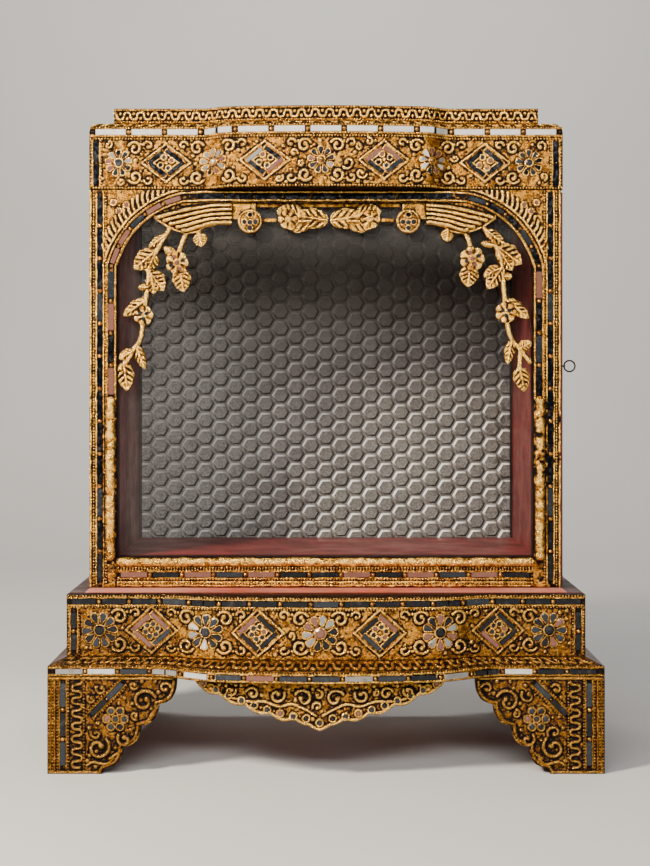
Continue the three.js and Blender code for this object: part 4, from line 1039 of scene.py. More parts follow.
def ledge():
    """The sloped moulding: a tile strip on its upright edge, a wavy thread with leaves on its slope."""
    edge_high = ledge_z[1] - ledge_z[0] - LEDGE_RISE
    slope_long = math.hypot(LEDGE_DEEP, LEDGE_RISE)
    across = np.concatenate([grid_lines(0, edge_high, 0.9), edge_high + grid_lines(0, slope_long, 0.9)[1:]])
    s, v = np.meshgrid(np.linspace(-1, 1, 640) * ledge_x[1], across, indexing="ij")
    relief = Relief(s, v, 51)
    face = Face("shrine", ledge_face, LEDGE_BOW)
    middle = ledge_z[0] + 4.4
    tones = [PALE, WHITE, GREY, PALE, WHITE, GREY, PINK, GREY, GREY, PALE, GREY, DARK, PALE, DARK, WHITE,
             DARK, DARK]
    joints = tile_run(face, None, (ledge_x[0] + 5, middle), (ledge_x[1] - 5, middle), 4.8, tones, 22,
                      3.4, 0.2)
    for x, _ in joints:
        frame_round = rectangle(x - 3.4, 1.8, x + 3.4, 7.0)
        relief.thread(frame_round + frame_round[:1], FINE_THREAD, 1.4)
    for z in (1.0, edge_high - 1.0):
        relief.thread([(-ledge_x[1], z), (ledge_x[1], z)], 0.9, 1.1)
    for z in (ledge_z[0] + edge_high - 0.3, ledge_z[0] + 1.4):
        face.beads([(ledge_x[0] + 2, z), (ledge_x[1] - 2, z)], None, 0)
    for z in (1.0, 4.4, edge_high - 0.3):
        relief.soil_and_shade([(-ledge_x[1], z), (ledge_x[1], z)], 2.6, 0.3)
    wave, reach, level = 15.6, ledge_x[1] - 6, edge_high + slope_long * 0.55
    count = int(reach / wave)
    relief.meander(-reach, reach, level, wave, 4.6, 1.4)
    for i in range(-count * 2, count * 2 + 1):
        x = i * wave / 2 + wave / 4
        if abs(x) > reach:
            continue
        relief.dome(x, level - 4.4 * math.sin(2 * math.pi * x / wave), 2.6, 1.5)
    relief.thread([(-reach, edge_high + 1.6), (reach, edge_high + 1.6)], 0.9, 1.0)
    relief.soil_and_shade([(-reach, level), (reach, level)], 9, 0.14)
    relief.pits(0.2, 2.6, 61)
    h = np.minimum(relief.height, 1.7)
    out = face.y(s)
    foot = base_face - bow(s, BASE_BOW)
    t = np.clip((v - edge_high) / slope_long, 0, 1)
    y = out + (foot - out) * t
    z = ledge_z[0] + np.minimum(v, edge_high) + LEDGE_RISE * t
    upright = v <= edge_high
    tilt = np.hypot(foot - out, LEDGE_RISE)
    ny = np.where(upright, -1.0, -LEDGE_RISE / tilt)
    nz = np.where(upright, 0.0, (foot - out) / tilt)
    mitre = 0.936  # how far the mitred ends draw in for each mm back
    x = s / ledge_x[1] * (ledge_x[1] - (np.where(upright, 0, LEDGE_DEEP * t) + SEAM) * mitre)
    fade = np.clip((ledge_z[1] - z) / 1.5, 0, 1)
    front = np.stack([x, y + ny * h, np.minimum(z + nz * h * fade, ledge_z[1])], axis=-1)
    back = base_face + BASE_THICK
    ends = front[:, [-1, 0]].copy()
    ends[..., 1] = back
    ends[..., 0] = s[:, [0]] * ((ledge_x[1] - (back - ledge_face + SEAM) * mitre) / ledge_x[1])
    rings = np.concatenate([front, ends], axis=1)
    ridge = np.concatenate([hollows(relief), np.full((len(s), 2), 0.5)], axis=1)
    ringed("carved_ledge", rings, (0, front.shape[1] - 1), ridge, gilt, "shrine",
           ["ledge_front"])


def contour(half, inset, plane, shape, back, step=0.8, side_step=3.0):
    """The sides and front of a bowed slab seen from above, from the back left corner round to the right,
    with the number of points on a side and along the front."""
    reach = half - inset
    side_y = np.linspace(back, plane + inset, round((back - plane) / side_step))[:-1]
    left = np.array([(-reach, y) for y in side_y])
    xs = np.linspace(-reach, reach, round(2 * half / step))
    front = np.stack([xs, plane + inset - bow(xs, shape)], axis=-1)
    right = left[::-1] * (-1, 1)
    return np.concatenate([left, front, right]), len(left), len(xs)


def run_along(line):
    """How far along a line each of its points is, from its middle."""
    run = np.concatenate([[0], np.cumsum(np.hypot(*np.diff(line, axis=0).T))])
    return run - run[-1] / 2


def edge_moulding():
    """The moulded top board: tiles on the upright, a wavy thread on the roll above."""
    plane = cornice_face
    profile = smooth_line([(0, 0), (4.5, 0), (9, 1.5), (12.1, 5.95), (14, 17)], 5)
    lengths = np.concatenate([[0], np.cumsum([math.hypot(b[0] - a[0], b[1] - a[1])
                                              for a, b in zip(profile[:-1], profile[1:])])])
    levels = np.arange(0, lengths[-1], 0.9)
    rise = np.interp(levels, lengths, [p[0] for p in profile])
    inset = np.maximum(np.interp(levels, lengths, [p[1] for p in profile]), 0)
    face = Face("shrine", plane + 0.3, CORNICE_BOW)
    half = moulding_x[1]
    first, lead, wide = contour(half, 0, plane, CORNICE_BOW, moulding_y[1])
    u, v = np.meshgrid(run_along(first), levels, indexing="ij")
    relief = Relief(u, v, 71)
    for level, radius in ((1.0, 0.9), (8.4, 0.8), (19.5, 1.0)):
        relief.thread([(u[0, 0], level), (u[-1, 0], level)], radius, 1.0)
    relief.meander(u[0, 0], u[-1, 0], 14.0, 11.5, 2.6, 1.1)
    for level, reach in ((1.0, 2.2), (4.7, 4.0), (8.6, 2.2)):
        relief.soil_and_shade([(u[0, 0], level), (u[-1, 0], level)], reach, 0.32)
    relief.pits(0.2, 3, 81)
    slope = np.gradient(inset, rise + 1e-4 * np.arange(len(rise)))
    lean = np.arctan(np.clip(slope, 0, 9))
    h = np.minimum(relief.height, 1.5) * np.clip((moulding_z[1] - moulding_z[0] - rise) / 1.2, 0.0, 1)
    rings = []
    for k, (r, i) in enumerate(zip(rise, inset)):
        ring, lead, wide = contour(half, i, plane, CORNICE_BOW, moulding_y[1])
        out = h[:, k] * math.cos(lean[k])
        x, y = ring[:, 0].copy(), ring[:, 1].copy()
        flat = slice(lead, lead + wide)
        y[flat] -= out[flat]
        x[:lead] -= np.minimum(out[:lead], i)
        x[lead + wide:] += np.minimum(out[lead + wide:], i)
        z = np.minimum(moulding_z[0] + r + h[:, k] * math.sin(lean[k]), moulding_z[1])
        rings.append(np.stack([x, y, z], axis=-1))
    rings = np.array(rings)
    ringed("carved_moulding", rings, (0, rings.shape[1] - 1), hollows(relief).T, gilt, "shrine",
           ["cornice_moulding"])
    middle = moulding_z[0] + 4.7
    tile_run(face, None, (-half + 3.5, middle), (half - 3.5, middle), 5.6, [WHITE], 24.5, 4.4)
    for z in (moulding_z[0] + 0.9, moulding_z[0] + 8.6):
        face.beads([(-half + 1.5, z), (half - 1.5, z)], None, 0.9)


def crown():
    """The slab on top, with a wavy thread between two strings of beads."""
    face = Face("shrine", crown_face, CROWN_BOW)
    half = crown_x[1]
    high = crown_z[1] - crown_z[0]
    first, lead, wide = contour(half, 0, crown_face, CROWN_BOW, crown_y[1])
    levels = grid_lines(0, high)
    u, v = np.meshgrid(run_along(first), levels, indexing="ij")
    relief = Relief(u, v, 91)
    wave = 13.2
    relief.meander(u[0, 0], u[-1, 0], high / 2, wave, 3.3, 1.45)
    for i in range(int(u[0, 0] / wave * 2), int(u[-1, 0] / wave * 2)):
        x = (i + 0.5) * wave / 2
        relief.dome(x, high / 2 - 2.2 * math.sin(2 * math.pi * x / wave), 1.5, 1.2)
    for z in (1.2, high - 1.2):
        relief.thread([(u[0, 0], z), (u[-1, 0], z)], 1.1, 0.7)
        relief.soil_and_shade([(u[0, 0], z), (u[-1, 0], z)], 2.4, 0.32)
    relief.pits(0.2, 3, 95)
    rings = []
    for k, level in enumerate(levels):
        x, y = first[:, 0].copy(), first[:, 1].copy()
        flat = slice(lead, lead + wide)
        y[flat] -= relief.height[flat, k]
        rings.append(np.stack([x, y, np.full(len(x), crown_z[0] + level)], axis=-1))
    rings = np.array(rings)
    ringed("carved_crown", rings, (0, rings.shape[1] - 1), hollows(relief).T, gilt, "shrine",
           ["crown_slab"])
    for z in (crown_z[0] + 1.5, crown_z[1] - 1.5):
        face.beads([(-half + 1.5, z), (half - 1.5, z)], None, 0.9)


# The bracket feet and the apron

FOOT_REACH, FOOT_TOE, FOOT_LOBES = 117, 52, 4
LOBE_SWELL, ROOT_DROP, TOE_RISE = 6, 6, 5
foot_high = foot_z[1]
foot_x_out = -foot_x[0]


def foot_outline():
    """Inwards from the corner: upright at 0, lobed along the inner edge."""
    outline = [(0, 0), (0, foot_high), (FOOT_REACH, foot_high)]
    for i in range(FOOT_LOBES):
        for t in np.arange(8) / 8:
            s = (i + t) / FOOT_LOBES
            swell = LOBE_SWELL * math.sin(math.pi * t)
            outline.append((FOOT_REACH + (FOOT_TOE - FOOT_REACH) * s + swell * 0.75,
                            foot_high - ROOT_DROP + (TOE_RISE - foot_high + ROOT_DROP) * s - swell * 0.65))
    return outline + [(FOOT_TOE, TOE_RISE), (FOOT_TOE - 2.5, 0)]


def front_foot(side, word):
    face = Face("shrine", foot_face)

    def at(inward, z):
        return side * (foot_x_out - inward), z

    shape = [at(*p) for p in foot_outline()]
    lobed = shape[3:]
    strip = 39 if side < 0 else 34  # where the slanting row of tiles starts

    def lay(relief):
        for line in ([at(3.0, 3), at(3.0, 86)], [at(6.2, 3), at(6.2, 86)]):
            relief.thread(line, 0.9, 0.7)
        relief.meander(5, foot_high - 4, at(27, 0)[0], 11.6, side * -4.4, 1.35, upright=True)
        relief.keep([at(0, 0), at(0, foot_high)], 35)
        tile_run(face, relief, at(14, 5), at(14, 85), 5.2, [GREY, DARK, GREY], 22)
        tile_run(face, relief, at(strip, 53), at(strip + 30, 83), 5.2, [DARK, GREY], 19, 1.6)
        cluster = at(62, 50)
        for i in range(6):
            a = i * math.pi / 3
            x, z = cluster[0] + 8.2 * math.cos(a), cluster[1] + 8.2 * math.sin(a)
            face.stone("disc", x, z, (5.4, 1.0, 5.4), tone=[GREY, DARK, GREY, PINK, GREY, DARK][i])
            relief.ring(x, z, 3.3, 0.85, 1.6)
        face.stone("disc", *cluster, (5.0, 1.2, 5.0), tone=GREY)
        relief.ring(*cluster, 3.1, 0.9, 1.6)
        turn = -side
        relief.curl(*at(88, 66), 11, 0.4 if side < 0 else 2.7, turn * 6.6, 1.6, 2.6)
        relief.curl(*at(46, 24), 11.0, 0.8 if side < 0 else 2.3, -turn * 6.6, 1.6, 2.8)
        relief.curl(*at(70, 31), 6.5, 2.4 if side < 0 else 0.7, turn * 5.4, 1.5, 2.2)
        relief.curl(*at(107, 78), 5.5, 0.2 if side < 0 else 2.9, turn * 5, 1.4, 2.0)
        relief.curl(*at(strip + 10, 77), 5.0, 2.6, turn * 5, 1.3, 2.0)
        stem = ((57, 14), (66, 20), (80, 30), (90, 46), (99, 60), (108, 68))
        relief.thread(smooth_line([at(*p) for p in stem]), 1.4)
        relief.thread(smooth_line([at(36, 8), at(42, 11), at(54, 9), at(60, 14)]), 1.3)
        for a, z in ((93, 47), (38, 42), (77, 64), (98, 84), (36, 12), (86, 84), (76, 40)):
            relief.dome(*at(a, z), 1.9, 1.8)
        inner = [(x + side * 2.2, z + 1.8) for x, z in lobed]
        relief.thread(inner, 1.5, 1.0)
        for a in (1.6, 4.7, 9.2, 18.9, 33.2):
            face.beads([at(a, 3), at(a, foot_high - 3)], relief)
        face.beads(inner, relief, 1.1, 1.5)
        for off in (-3.3, 3.3):
            face.beads([at(strip + off, 53 - off), at(strip + 30 + off, 83 - off)], relief)
        relief.thread([at(2, 1.8), at(FOOT_TOE - 4, 1.8)], 1.2, 0.9)
        relief.thread([at(2, foot_high - 1.6), at(FOOT_REACH - 3, foot_high - 1.6)], 1.2, 0.8)
        relief.keep([cluster, cluster], 12.5)
        edge = sorted([side * (foot_x_out - 35), side * (foot_x_out - FOOT_REACH)])
        relief.fill((edge[0], 3), (edge[1], foot_high - 3), 102, (6.5, 5.0, 4.0), 160)
        relief.pits(0.3, 2.8, 101)

    edge = [side * foot_x_out, side * (foot_x_out - FOOT_REACH)]
    cut_board("carved_foot_" + word, face, foot_y[1], min(edge), max(edge), 0, foot_high,
              lambda x, z: inside_distance(x, z, shape), lay, "foot_front_" + word, gilt)


APRON_HALF, APRON_SHIFT, APRON_DROP, APRON_LOBES = 112, -6, 41, 5


def apron_edge(t):
    """The height of the apron's edge, from its middle at 0 to its end at 1."""
    return foot_high - 3 - APRON_DROP * (1 - t ** 1.6) * 0.82


def apron():
    face = Face("shrine", apron_face, LEDGE_BOW)
    outline = []
    for i in range(-60, 61):
        t = abs(i) / 60
        tip = APRON_DROP * 0.18 * max(0, 1 - t * 12)
        outline.append((APRON_SHIFT + APRON_HALF * i / 60,
                        apron_edge(t) - tip - 3.6 * abs(math.sin(math.pi * APRON_LOBES * t))))
    shape = outline + [(APRON_SHIFT + APRON_HALF, foot_high), (APRON_SHIFT - APRON_HALF, foot_high)]

    def lay(relief):
        relief.thread([(x, z + 1.8) for x, z in outline], 1.4, 1.0)
        for dot in dots:
            relief.ring(*dot, 3.0, 0.8, 1.9)
            relief.keep([dot, dot], 3.6)
        curls = ((14, 15, 8.5, 0.5), (38, 12, 7.0, 2.8), (60, 11, 6.0, 0.4), (80, 9, 5.0, 2.9),
                 (97, 7, 3.6, 0.3))
        stem = ((3, 30), (10, 26), (24, 20), (36, 22), (50, 18), (66, 18), (84, 14), (104, 8))
        for side in (-1, 1):
            for x, drop, radius, start in curls:
                first = start if side > 0 else math.pi - start
                relief.curl(APRON_SHIFT + side * x, foot_high - drop, radius, first, side * 5.8, 1.4, 2.3)
            relief.thread(smooth_line([(APRON_SHIFT + side * a, foot_high - b) for a, b in stem]), 1.3)
            for a, b in ((6, 6), (27, 6), (49, 4), (70, 4), (24, 28), (90, 4)):
                relief.dome(APRON_SHIFT + side * a, foot_high - b, 1.7, 1.6)
        relief.fill((apron_x[0], foot_high - 40), (apron_x[1], foot_high - 2), 112, (4.4, 3.4), 160)
        relief.pits(0.3, 2.8, 111)

    dots = []
    for i in range(-9, 10):
        t = abs(i) / 9.6
        x, z = APRON_SHIFT + APRON_HALF * i / 9.6, apron_edge(t) + 3.2 - (3 if i == 0 else 0)
        face.stone("disc", x, z, (4.8, 1.8, 4.8), tone=[GREY, DARK, GREY, PINK, GREY, DARK][i % 6])
        dots.append((x, z))
    cut_board("carved_apron", face, apron_face + APRON_THICK, *apron_x, min(z for _, z in outline), foot_high,
              lambda x, z: inside_distance(x, z, shape), lay, "front_apron", gilt, follows=True)


# The door: everything is placed from its middle, as x = 0


def arch_point(t, offset=0.0):
    """A point on the arch, inwards and down from the opening's corner, moved outwards by offset."""
    a, c, b = (0, 61.5), (14, 12), (64, 0)
    mix = [(1 - t) ** 2 * a[i] + 2 * t * (1 - t) * c[i] + t * t * b[i] for i in (0, 1)]
    slope = [2 * (1 - t) * (c[i] - a[i]) + 2 * t * (b[i] - c[i]) for i in (0, 1)]
    length = math.hypot(*slope)
    return mix[0] + offset * slope[1] / length, mix[1] - offset * slope[0] / length


def at_corner(side, inward, down):
    return side * (open_half - inward), open_top - down


def arch_line(side, offset, low=0.0, high=1.0):
    return [at_corner(side, *arch_point(t, offset)) for t in np.linspace(low, high, 18)]


TURN_DOWN = 186  # below the opening's top, where the inner tiles give way to plain gold
CORNER_DOTS = ((2, 8), (9, 2), (-3, 0))


def lay_arch(relief, side):
    """The arch's tile band with its rims, and the leaf rays outside it."""
    foot = at_corner(side, -1.4, TURN_DOWN), at_corner(side, -9.2, TURN_DOWN)
    inner = [foot[0]] + arch_line(side, 1.4) + [at_corner(side, 80, -2.2), (0, open_top + 2.2)]
    outer = [foot[1]] + arch_line(side, 9.2) + [at_corner(side, 80, -10), (0, open_top + 10)]
    for line in (inner, outer):
        relief.thread(line, 1.0, 1.1)
        relief.soil_and_shade(line, 2.2, 0.3)
    relief.soil_and_shade([(0.5 * (a[0] + b[0]), 0.5 * (a[1] + b[1])) for a, b in zip(inner, outer)], 4.5, 0.2)
    relief.thread(arch_line(side, 13.0, 0.02, 0.98), 1.2, 1.1)
    for t in np.linspace(0.1, 0.95, 18):
        long = 9.5 - 22 * (t - 0.5) ** 2
        ray = [at_corner(side, *arch_point(t + lean, 14.5 + long * share))
               for share, lean in ((0, 0.0), (0.5, 0.015), (1, 0.045))]
        relief.thread(ray, 1.45, 0.9)
    for dot in CORNER_DOTS:
        relief.ring(*at_corner(side, *dot), 2.6, 0.9, 1.3)


def set_arch(face, side):
    """Tiles along the arch's band, from the stile round to the top rail, and the dots in the corner."""
    steps = 5
    tones = (PINK, PINK, GREY) if side < 0 else (DARK, GREY, DARK)
    line = np.array([at_corner(side, *arch_point(t, 5.3)) for t in np.linspace(0, 1, 101)])
    run = np.concatenate([[0], np.cumsum(np.hypot(*np.diff(line, axis=0).T))])

    def along(share):
        return np.array([np.interp(share * run[-1], run, line[:, k]) for k in (0, 1)])

    for k in range(steps):
        a, b = along((k + 0.12) / steps), along((k + 0.88) / steps)
        slant = math.atan2(b[1] - a[1], b[0] - a[0])
        face.stone("tile", *((a + b) / 2), (np.hypot(*(b - a)), 1.3, 4.6), slant, tones[k % 3])
        face.stone("stud", *along(k / steps), (3.4, 3.4, 3.4), tone=0.2, sunk=-0.6)
    for dot in CORNER_DOTS:
        face.stone("disc", *at_corner(side, *dot), (4.4, 1.2, 4.4), tone=PINK)


def worn_patches(relief, size, seed):
    """Where leaf and putty are rubbed away, from 0 to 1."""
    return np.clip(lattice_noise(relief.x, relief.z, size, seed)
                   + 0.6 * lattice_noise(relief.x, relief.z, 2.4, 8), 0, 1)


def stile(side, word):
    """An upright of the door: tiles down its outer half, the arch and then plain gold down its inner half."""
    face = Face("door", door_face, FLAT, door_middle)
    xs = np.sort(side * grid_lines(open_half, door_half, 0.78))
    zs = grid_lines(*stile_z, 0.8)
    relief = Relief(*np.meshgrid(xs, zs, indexing="ij"), 121 + side)
    low, high = stile_z
    tiles = side * (door_half - 10)
    tile_run(face, relief, (tiles, low + 3), (tiles, high - 3), 5.4, [DARK, DARK, GREY, DARK, DARK, DARK], 23)
    plain_top = open_top - TURN_DOWN
    outer, inner, lip = side * (door_half - 1.0), side * (open_half + 6.2), side * (open_half + 0.9)
    relief.thread([(outer, low), (outer, high)], 1.0, 1.0)
    relief.thread([(inner, open_low + 1), (inner, plain_top - 3)], 5.2, 0.75)
    relief.thread([(lip, open_low), (lip, plain_top)], 0.9, 1.2)
    lay_arch(relief, side)
    relief.pits(0.34, 2.8, 131)
    plain = relief.z < plain_top
    relief.height[plain] += 0.45 * lattice_noise(relief.x, relief.z, 5, 5)[plain]
    heavy = np.where((side > 0) & (relief.z > plain_top - 75), 0.9, 0.3)  # the dark stretch on the right
    relief.grime_and_shade[plain] += (heavy * worn_patches(relief, 6, 9 + side))[plain]
    column = side * (open_half + 5.3)
    tile_run(face, None, (column, plain_top + 1), (column, open_top - 63), 5.6,
             [PINK, DARK, PINK, GREY] if side < 0 else [DARK, GREY, DARK, PINK], 24)
    for off in (4.2, 15.6):
        x = side * (door_half - off)
        face.beads([(x, low + 2), (x, high - 1.5)], relief)
    for offset in (1.2, 9.4):
        x = side * (open_half + offset)
        face.beads([(x, plain_top), (x, open_top - 62)], relief, 0.9)
    front_board("carved_stile_" + word, face, stile_y[1], xs, zs, relief, "z", "stile_" + word, gilt)


def bottom_rail():
    face = Face("door", door_face, FLAT, door_middle)
    half = rail_x[1] - door_middle
    xs, zs = grid_lines(-half, half, 0.8), grid_lines(*rail_z, 0.75)
    relief = Relief(*np.meshgrid(xs, zs, indexing="ij"), 141)
    low = rail_z[0]
    relief.thread([(-half, open_low - 5), (half, open_low - 5)], 4.6, 0.8)
    tile_run(face, relief, (-half + 1, low + 11.6), (half - 1, low + 11.6), 5.0,
             [PINK, DARK, PINK, GREY, PINK, DARK, DARK], 21)
    for z in (low + 1.6, low + 4.6):
        relief.thread([(-half, z), (half, z)], 1.2, 0.9)
    relief.pits(0.34, 2.8, 151)
    relief.grime_and_shade += 0.3 * worn_patches(relief, 7, 152)
    for z in (low + 3.1, low + 7.4, low + 15.9, low + 18.2):
        face.beads([(-half + 1, z), (half - 1, z)], relief, 0.5)
    front_board("carved_bottom_rail", face, rail_y[1], xs, zs, relief, "x", "rail_bottom", gilt)


def top_rail():
    face = Face("door", door_face, FLAT, door_middle)
    half = top_x[1] - door_middle
    xs, zs = grid_lines(-half, half, 0.8), grid_lines(*top_z, 0.75)
    relief = Relief(*np.meshgrid(xs, zs, indexing="ij"), 161)
    for side in (-1, 1):
        lay_arch(relief, side)
    relief.pits(0.25, 3, 171)
    tile_run(face, None, (-122, open_top + 6), (122, open_top + 6), 5.8, [DARK], 26, 1.2)
    front_board("carved_top_rail", face, top_y[1], xs, zs, relief, "x", "rail_top", gilt)


# Pierced foliage: stems are lines of points, flowers have a radius, leaves a length, width and angle.
# Each is placed inwards from the opening's side and down from its top; angles turn from +x.

FOLIAGE = {
    "left": {
        "stems": [
            [(54, 17), (38, 45), (31, 64), (29, 80), (26, 104)],
            [(25, 110), (22, 129), (15, 141), (4, 158)],
            [(69, 23), (62, 37), (57.5, 52)],
            [(76, 22), (79, 34)],
            [(38, 44), (26, 55)],
        ],
        "flowers": [(57, 57, 11), (25, 107, 9.5)],
        "leaves": [(46, 31, 19, 8, 3.75), (36, 46, 26, 17, 3.85), (36, 48, 20, 12, 4.3),
                   (31, 66, 22, 16, 5.38), (32, 68, 19, 12, 4.9), (55, 50, 13, 8, 2.5),
                   (60, 63, 22, 16, 4.85), (78, 29, 13, 12, 4.9), (28, 92, 27, 11, 3.75),
                   (30, 80, 10, 7, 3.2), (17, 135, 25, 9, 5.11), (15, 141, 15, 10, 3.66),
                   (6, 152, 27, 15, 4.85)],
    },
    "right": {
        "stems": [
            [(54, 14), (43, 29), (35, 42), (30, 56), (28, 83), (25.5, 98)],
            [(25, 108), (24, 118), (20, 130), (11, 141), (3, 151)],
            [(71, 20), (63, 32), (58, 46)],
            [(80, 18), (81.5, 29)],
            [(12, 140), (13, 160)],
        ],
        "flowers": [(57.9, 53, 11.9), (25.8, 104, 10.4)],
        "leaves": [(45, 26, 22, 10, 5.64), (34, 42, 28, 18, 5.67), (32, 46, 22, 12, 5.3),
                   (30, 62, 24, 14, 4.1), (31, 62, 18, 11, 3.6), (37, 40, 13, 6, 3.0),
                   (60, 60, 20, 16, 4.6), (81.5, 25, 12, 11, 4.7), (26, 92, 28, 12, 5.6),
                   (29, 70, 9, 7, 0), (20, 131, 23, 9, 4.5), (13, 139, 13, 10, 0.54),
                   (13, 156, 24, 14, 4.9)],
    },
}
FLUTES = 5
BOARD = 7.6  # how far the carving stands before its back
SHEAF_END = {"left": 109.2, "right": 101.7}
SHEAF_EDGE = [(36, 15.5), (45, 21.5), (55, 26.5), (66, 29.5), (74, 28.5), (84, 23.5), (96, 20.8)]


def along_leaf(x, z, root, length, angle):
    """How far along a leaf a point is, as a share of its length, and how far across, in mm."""
    dx, dz = x - root[0], z - root[1]
    return ((dx * math.cos(angle) + dz * math.sin(angle)) / length,
            -dx * math.sin(angle) + dz * math.cos(angle))


def leaf_distance(x, z, root, length, width, angle):
    """Below 0 inside a leaf with a scalloped edge."""
    a, across = along_leaf(x, z, root, length, angle)
    t = np.clip(a, 0, 1)
    half = width / 2 * (np.sin(math.pi * t ** 0.75) ** 0.7) * (1 + 0.13 * np.abs(np.sin(3.2 * math.pi * t)))
    past = np.maximum(np.maximum(-a, a - 1), 0) * length
    return np.abs(across) - half + past * 1.2 - 0.35


def leaf_height(x, z, root, length, width, angle):
    """A cupped blade with a mid rib and side veins."""
    a, across = along_leaf(x, z, root, length, angle)
    t = np.clip(a, 0, 1)
    side = np.abs(across) / (width / 2)
    cup = 1.6 * np.clip(1 - side * side, 0, 1) ** 0.5
    rib = 0.9 * np.exp(-(across / 0.8) ** 2) * (t < 0.95)
    vein = 0.7 * np.sin(2 * math.pi * (t * 5 - side * 1.1))
    return BOARD - 1.7 + cup + rib + vein * np.clip(side * 2, 0, 1) * (side < 1)


def bloom_distance(x, z, spot, radius, petals):
    """Below 0 inside a flower with rounded petals."""
    dx, dz = x - spot[0], z - spot[1]
    edge = radius * (0.86 + 0.14 * np.abs(np.cos(petals / 2 * np.arctan2(dz, dx))))
    return np.hypot(dx, dz) - edge


def bloom_height(x, z, spot, radius, petals):
    """Folded petals round a domed heart."""
    dx, dz = x - spot[0], z - spot[1]
    r = np.hypot(dx, dz) / radius
    fold = np.abs(np.cos(petals / 2 * np.arctan2(dz, dx)))
    petal = BOARD - 2.0 + 2.6 * np.clip(fold, 0, 1) ** 0.5 * np.clip(1.15 - r, 0, 1) ** 0.35
    heart = np.where(r < 0.36, BOARD + 1.0 * np.sqrt(np.clip(1 - (r / 0.36) ** 2, 0, 1)), 0)
    return np.maximum(petal, heart)


def spandrel(side, word):
    """A corner of the arch: its tile band, the fluted sheaf, and the pierced spray that hangs from it."""
    face = Face("door", carving_y[1], FLAT, door_middle)
    spray = FOLIAGE[word]
    end = SHEAF_END[word]
    edge = ([(0, 0), (0, 61.5)] + [arch_point(t) for t in np.linspace(0.1, 0.68, 8)] + SHEAF_EDGE
            + [(end, 20.8), (end, 0)])
    board = [at_corner(side, *p) for p in edge]
    stems = [smooth_line([at_corner(side, *p) for p in line]) for line in spray["stems"]]
    leaves = [(at_corner(side, a, b), length, width, angle) for a, b, length, width, angle in spray["leaves"]]
    blooms = [(at_corner(side, a, b), radius) for a, b, radius in spray["flowers"]]
    limit = [at_corner(side, *p) for p in ((SEAM, SEAM), (SEAM, 200), (end, 200), (end, SEAM))]

    def outline(x, z):
        d = inside_distance(x, z, board)
        for line in stems:
            d = np.minimum(d, line_distance(x, z, line) - 2.5)
        for leaf in leaves:
            d = np.minimum(d, leaf_distance(x, z, *leaf))
        for spot, radius in blooms:
            d = np.minimum(d, bloom_distance(x, z, spot, radius, 7))
        return np.maximum(d, inside_distance(x, z, limit))

    def lay(relief):
        x, z = relief.x, relief.z
        h = np.full(x.shape, BOARD - 3.4)
        flat = inside_distance(x, z, board) < 0.4
        on_board = np.zeros_like(h)
        carving = Relief(x, z, 1, 0)
        lay_arch(carving, side)
        for i in range(FLUTES):
            t = i / (FLUTES - 1)
            line = [(end, 2.2 + 16.4 * t), (96, 2.8 + 15.8 * t), (84, 3.8 + 17 * t), (68, 6.5 + 19.2 * t),
                    (54 + 12 * t, 9.8 + 16.6 * t), (39 + 24 * t, 14 + 11.8 * t)]
            line = smooth_line([at_corner(side, *p) for p in line])
            carving.thread(line, 2.0, 1.5)
            carving.soil_and_shade([(a, b + 2.1) for a, b in line], 1.2, 0.3)
        relief.grime_and_shade = carving.grime_and_shade
        on_board[flat] = (BOARD + 0.2 + carving.height)[flat]
        h = np.maximum(h, on_board)
        for line in stems:
            d = line_distance(x, z, line) / 2.6
            h = np.maximum(h, np.where(d < 1, BOARD - 2.6 + 2.9 * np.clip(1 - d * d, 0, 1) ** 0.5, 0))
        for leaf in leaves:
            inside = leaf_distance(x, z, *leaf) < 0.5
            h = np.where(inside, np.maximum(h, leaf_height(x, z, *leaf)), h)
        for spot, radius in blooms:
            inside = bloom_distance(x, z, spot, radius, 7) < 0.5
            h = np.where(inside, np.maximum(bloom_height(x, z, spot, radius, 7), BOARD - 2), h)
        relief.height = h
        relief.pits(0.25, 3, 181)

    raised = Face("door", carving_y[1] - BOARD - 0.4, FLAT, door_middle)
    for spot, radius in blooms:
        small = radius < 11
        count, out, turn, size = (3, 3.4, 0.5, (3.8, 1.2, 3.8)) if small else (4, 6.2, 0.4, (3.6, 1.0, 3.6))
        for i in range(count):
            a = 2 * math.pi * i / count + turn
            raised.stone("disc", spot[0] + out * math.cos(a), spot[1] + out * math.sin(a), size,
                         tone=GREY if small else (GREY, PINK)[i % 2])
        if not small:
            raised.stone("disc", *spot, (4.6, 1.6, 4.6), tone=PINK)
    tiles = Face("door", board_face, FLAT, door_middle)
    set_arch(tiles, side)
    for offset in (1.2, 9.4):
        tiles.beads(arch_line(side, offset), None, 1.2, 2.0)
    low = at_corner(side, 0, TURN_DOWN)[1]
    xs = sorted([at_corner(side, SEAM, 0)[0], at_corner(side, end, 0)[0]])
    cut_board("carved_spandrel_" + word, face, carving_y[1], *xs, low, open_top - SEAM, outline, lay,
              "spandrel_" + word, gilt, CARVED_GRID)


STUDDED = ((0, 6.0), (-5.2, -0.8), (0, -1.2), (5.2, -0.8), (0, -6.6))
# On each half: how far out and down each leaf starts, its length, its width and its tilt
GARLAND_LEAVES = ((1, 16, 34, 17, 0.12), (17, 17, 30, 19, 0), (26, 12, 24, 18, 0.2))


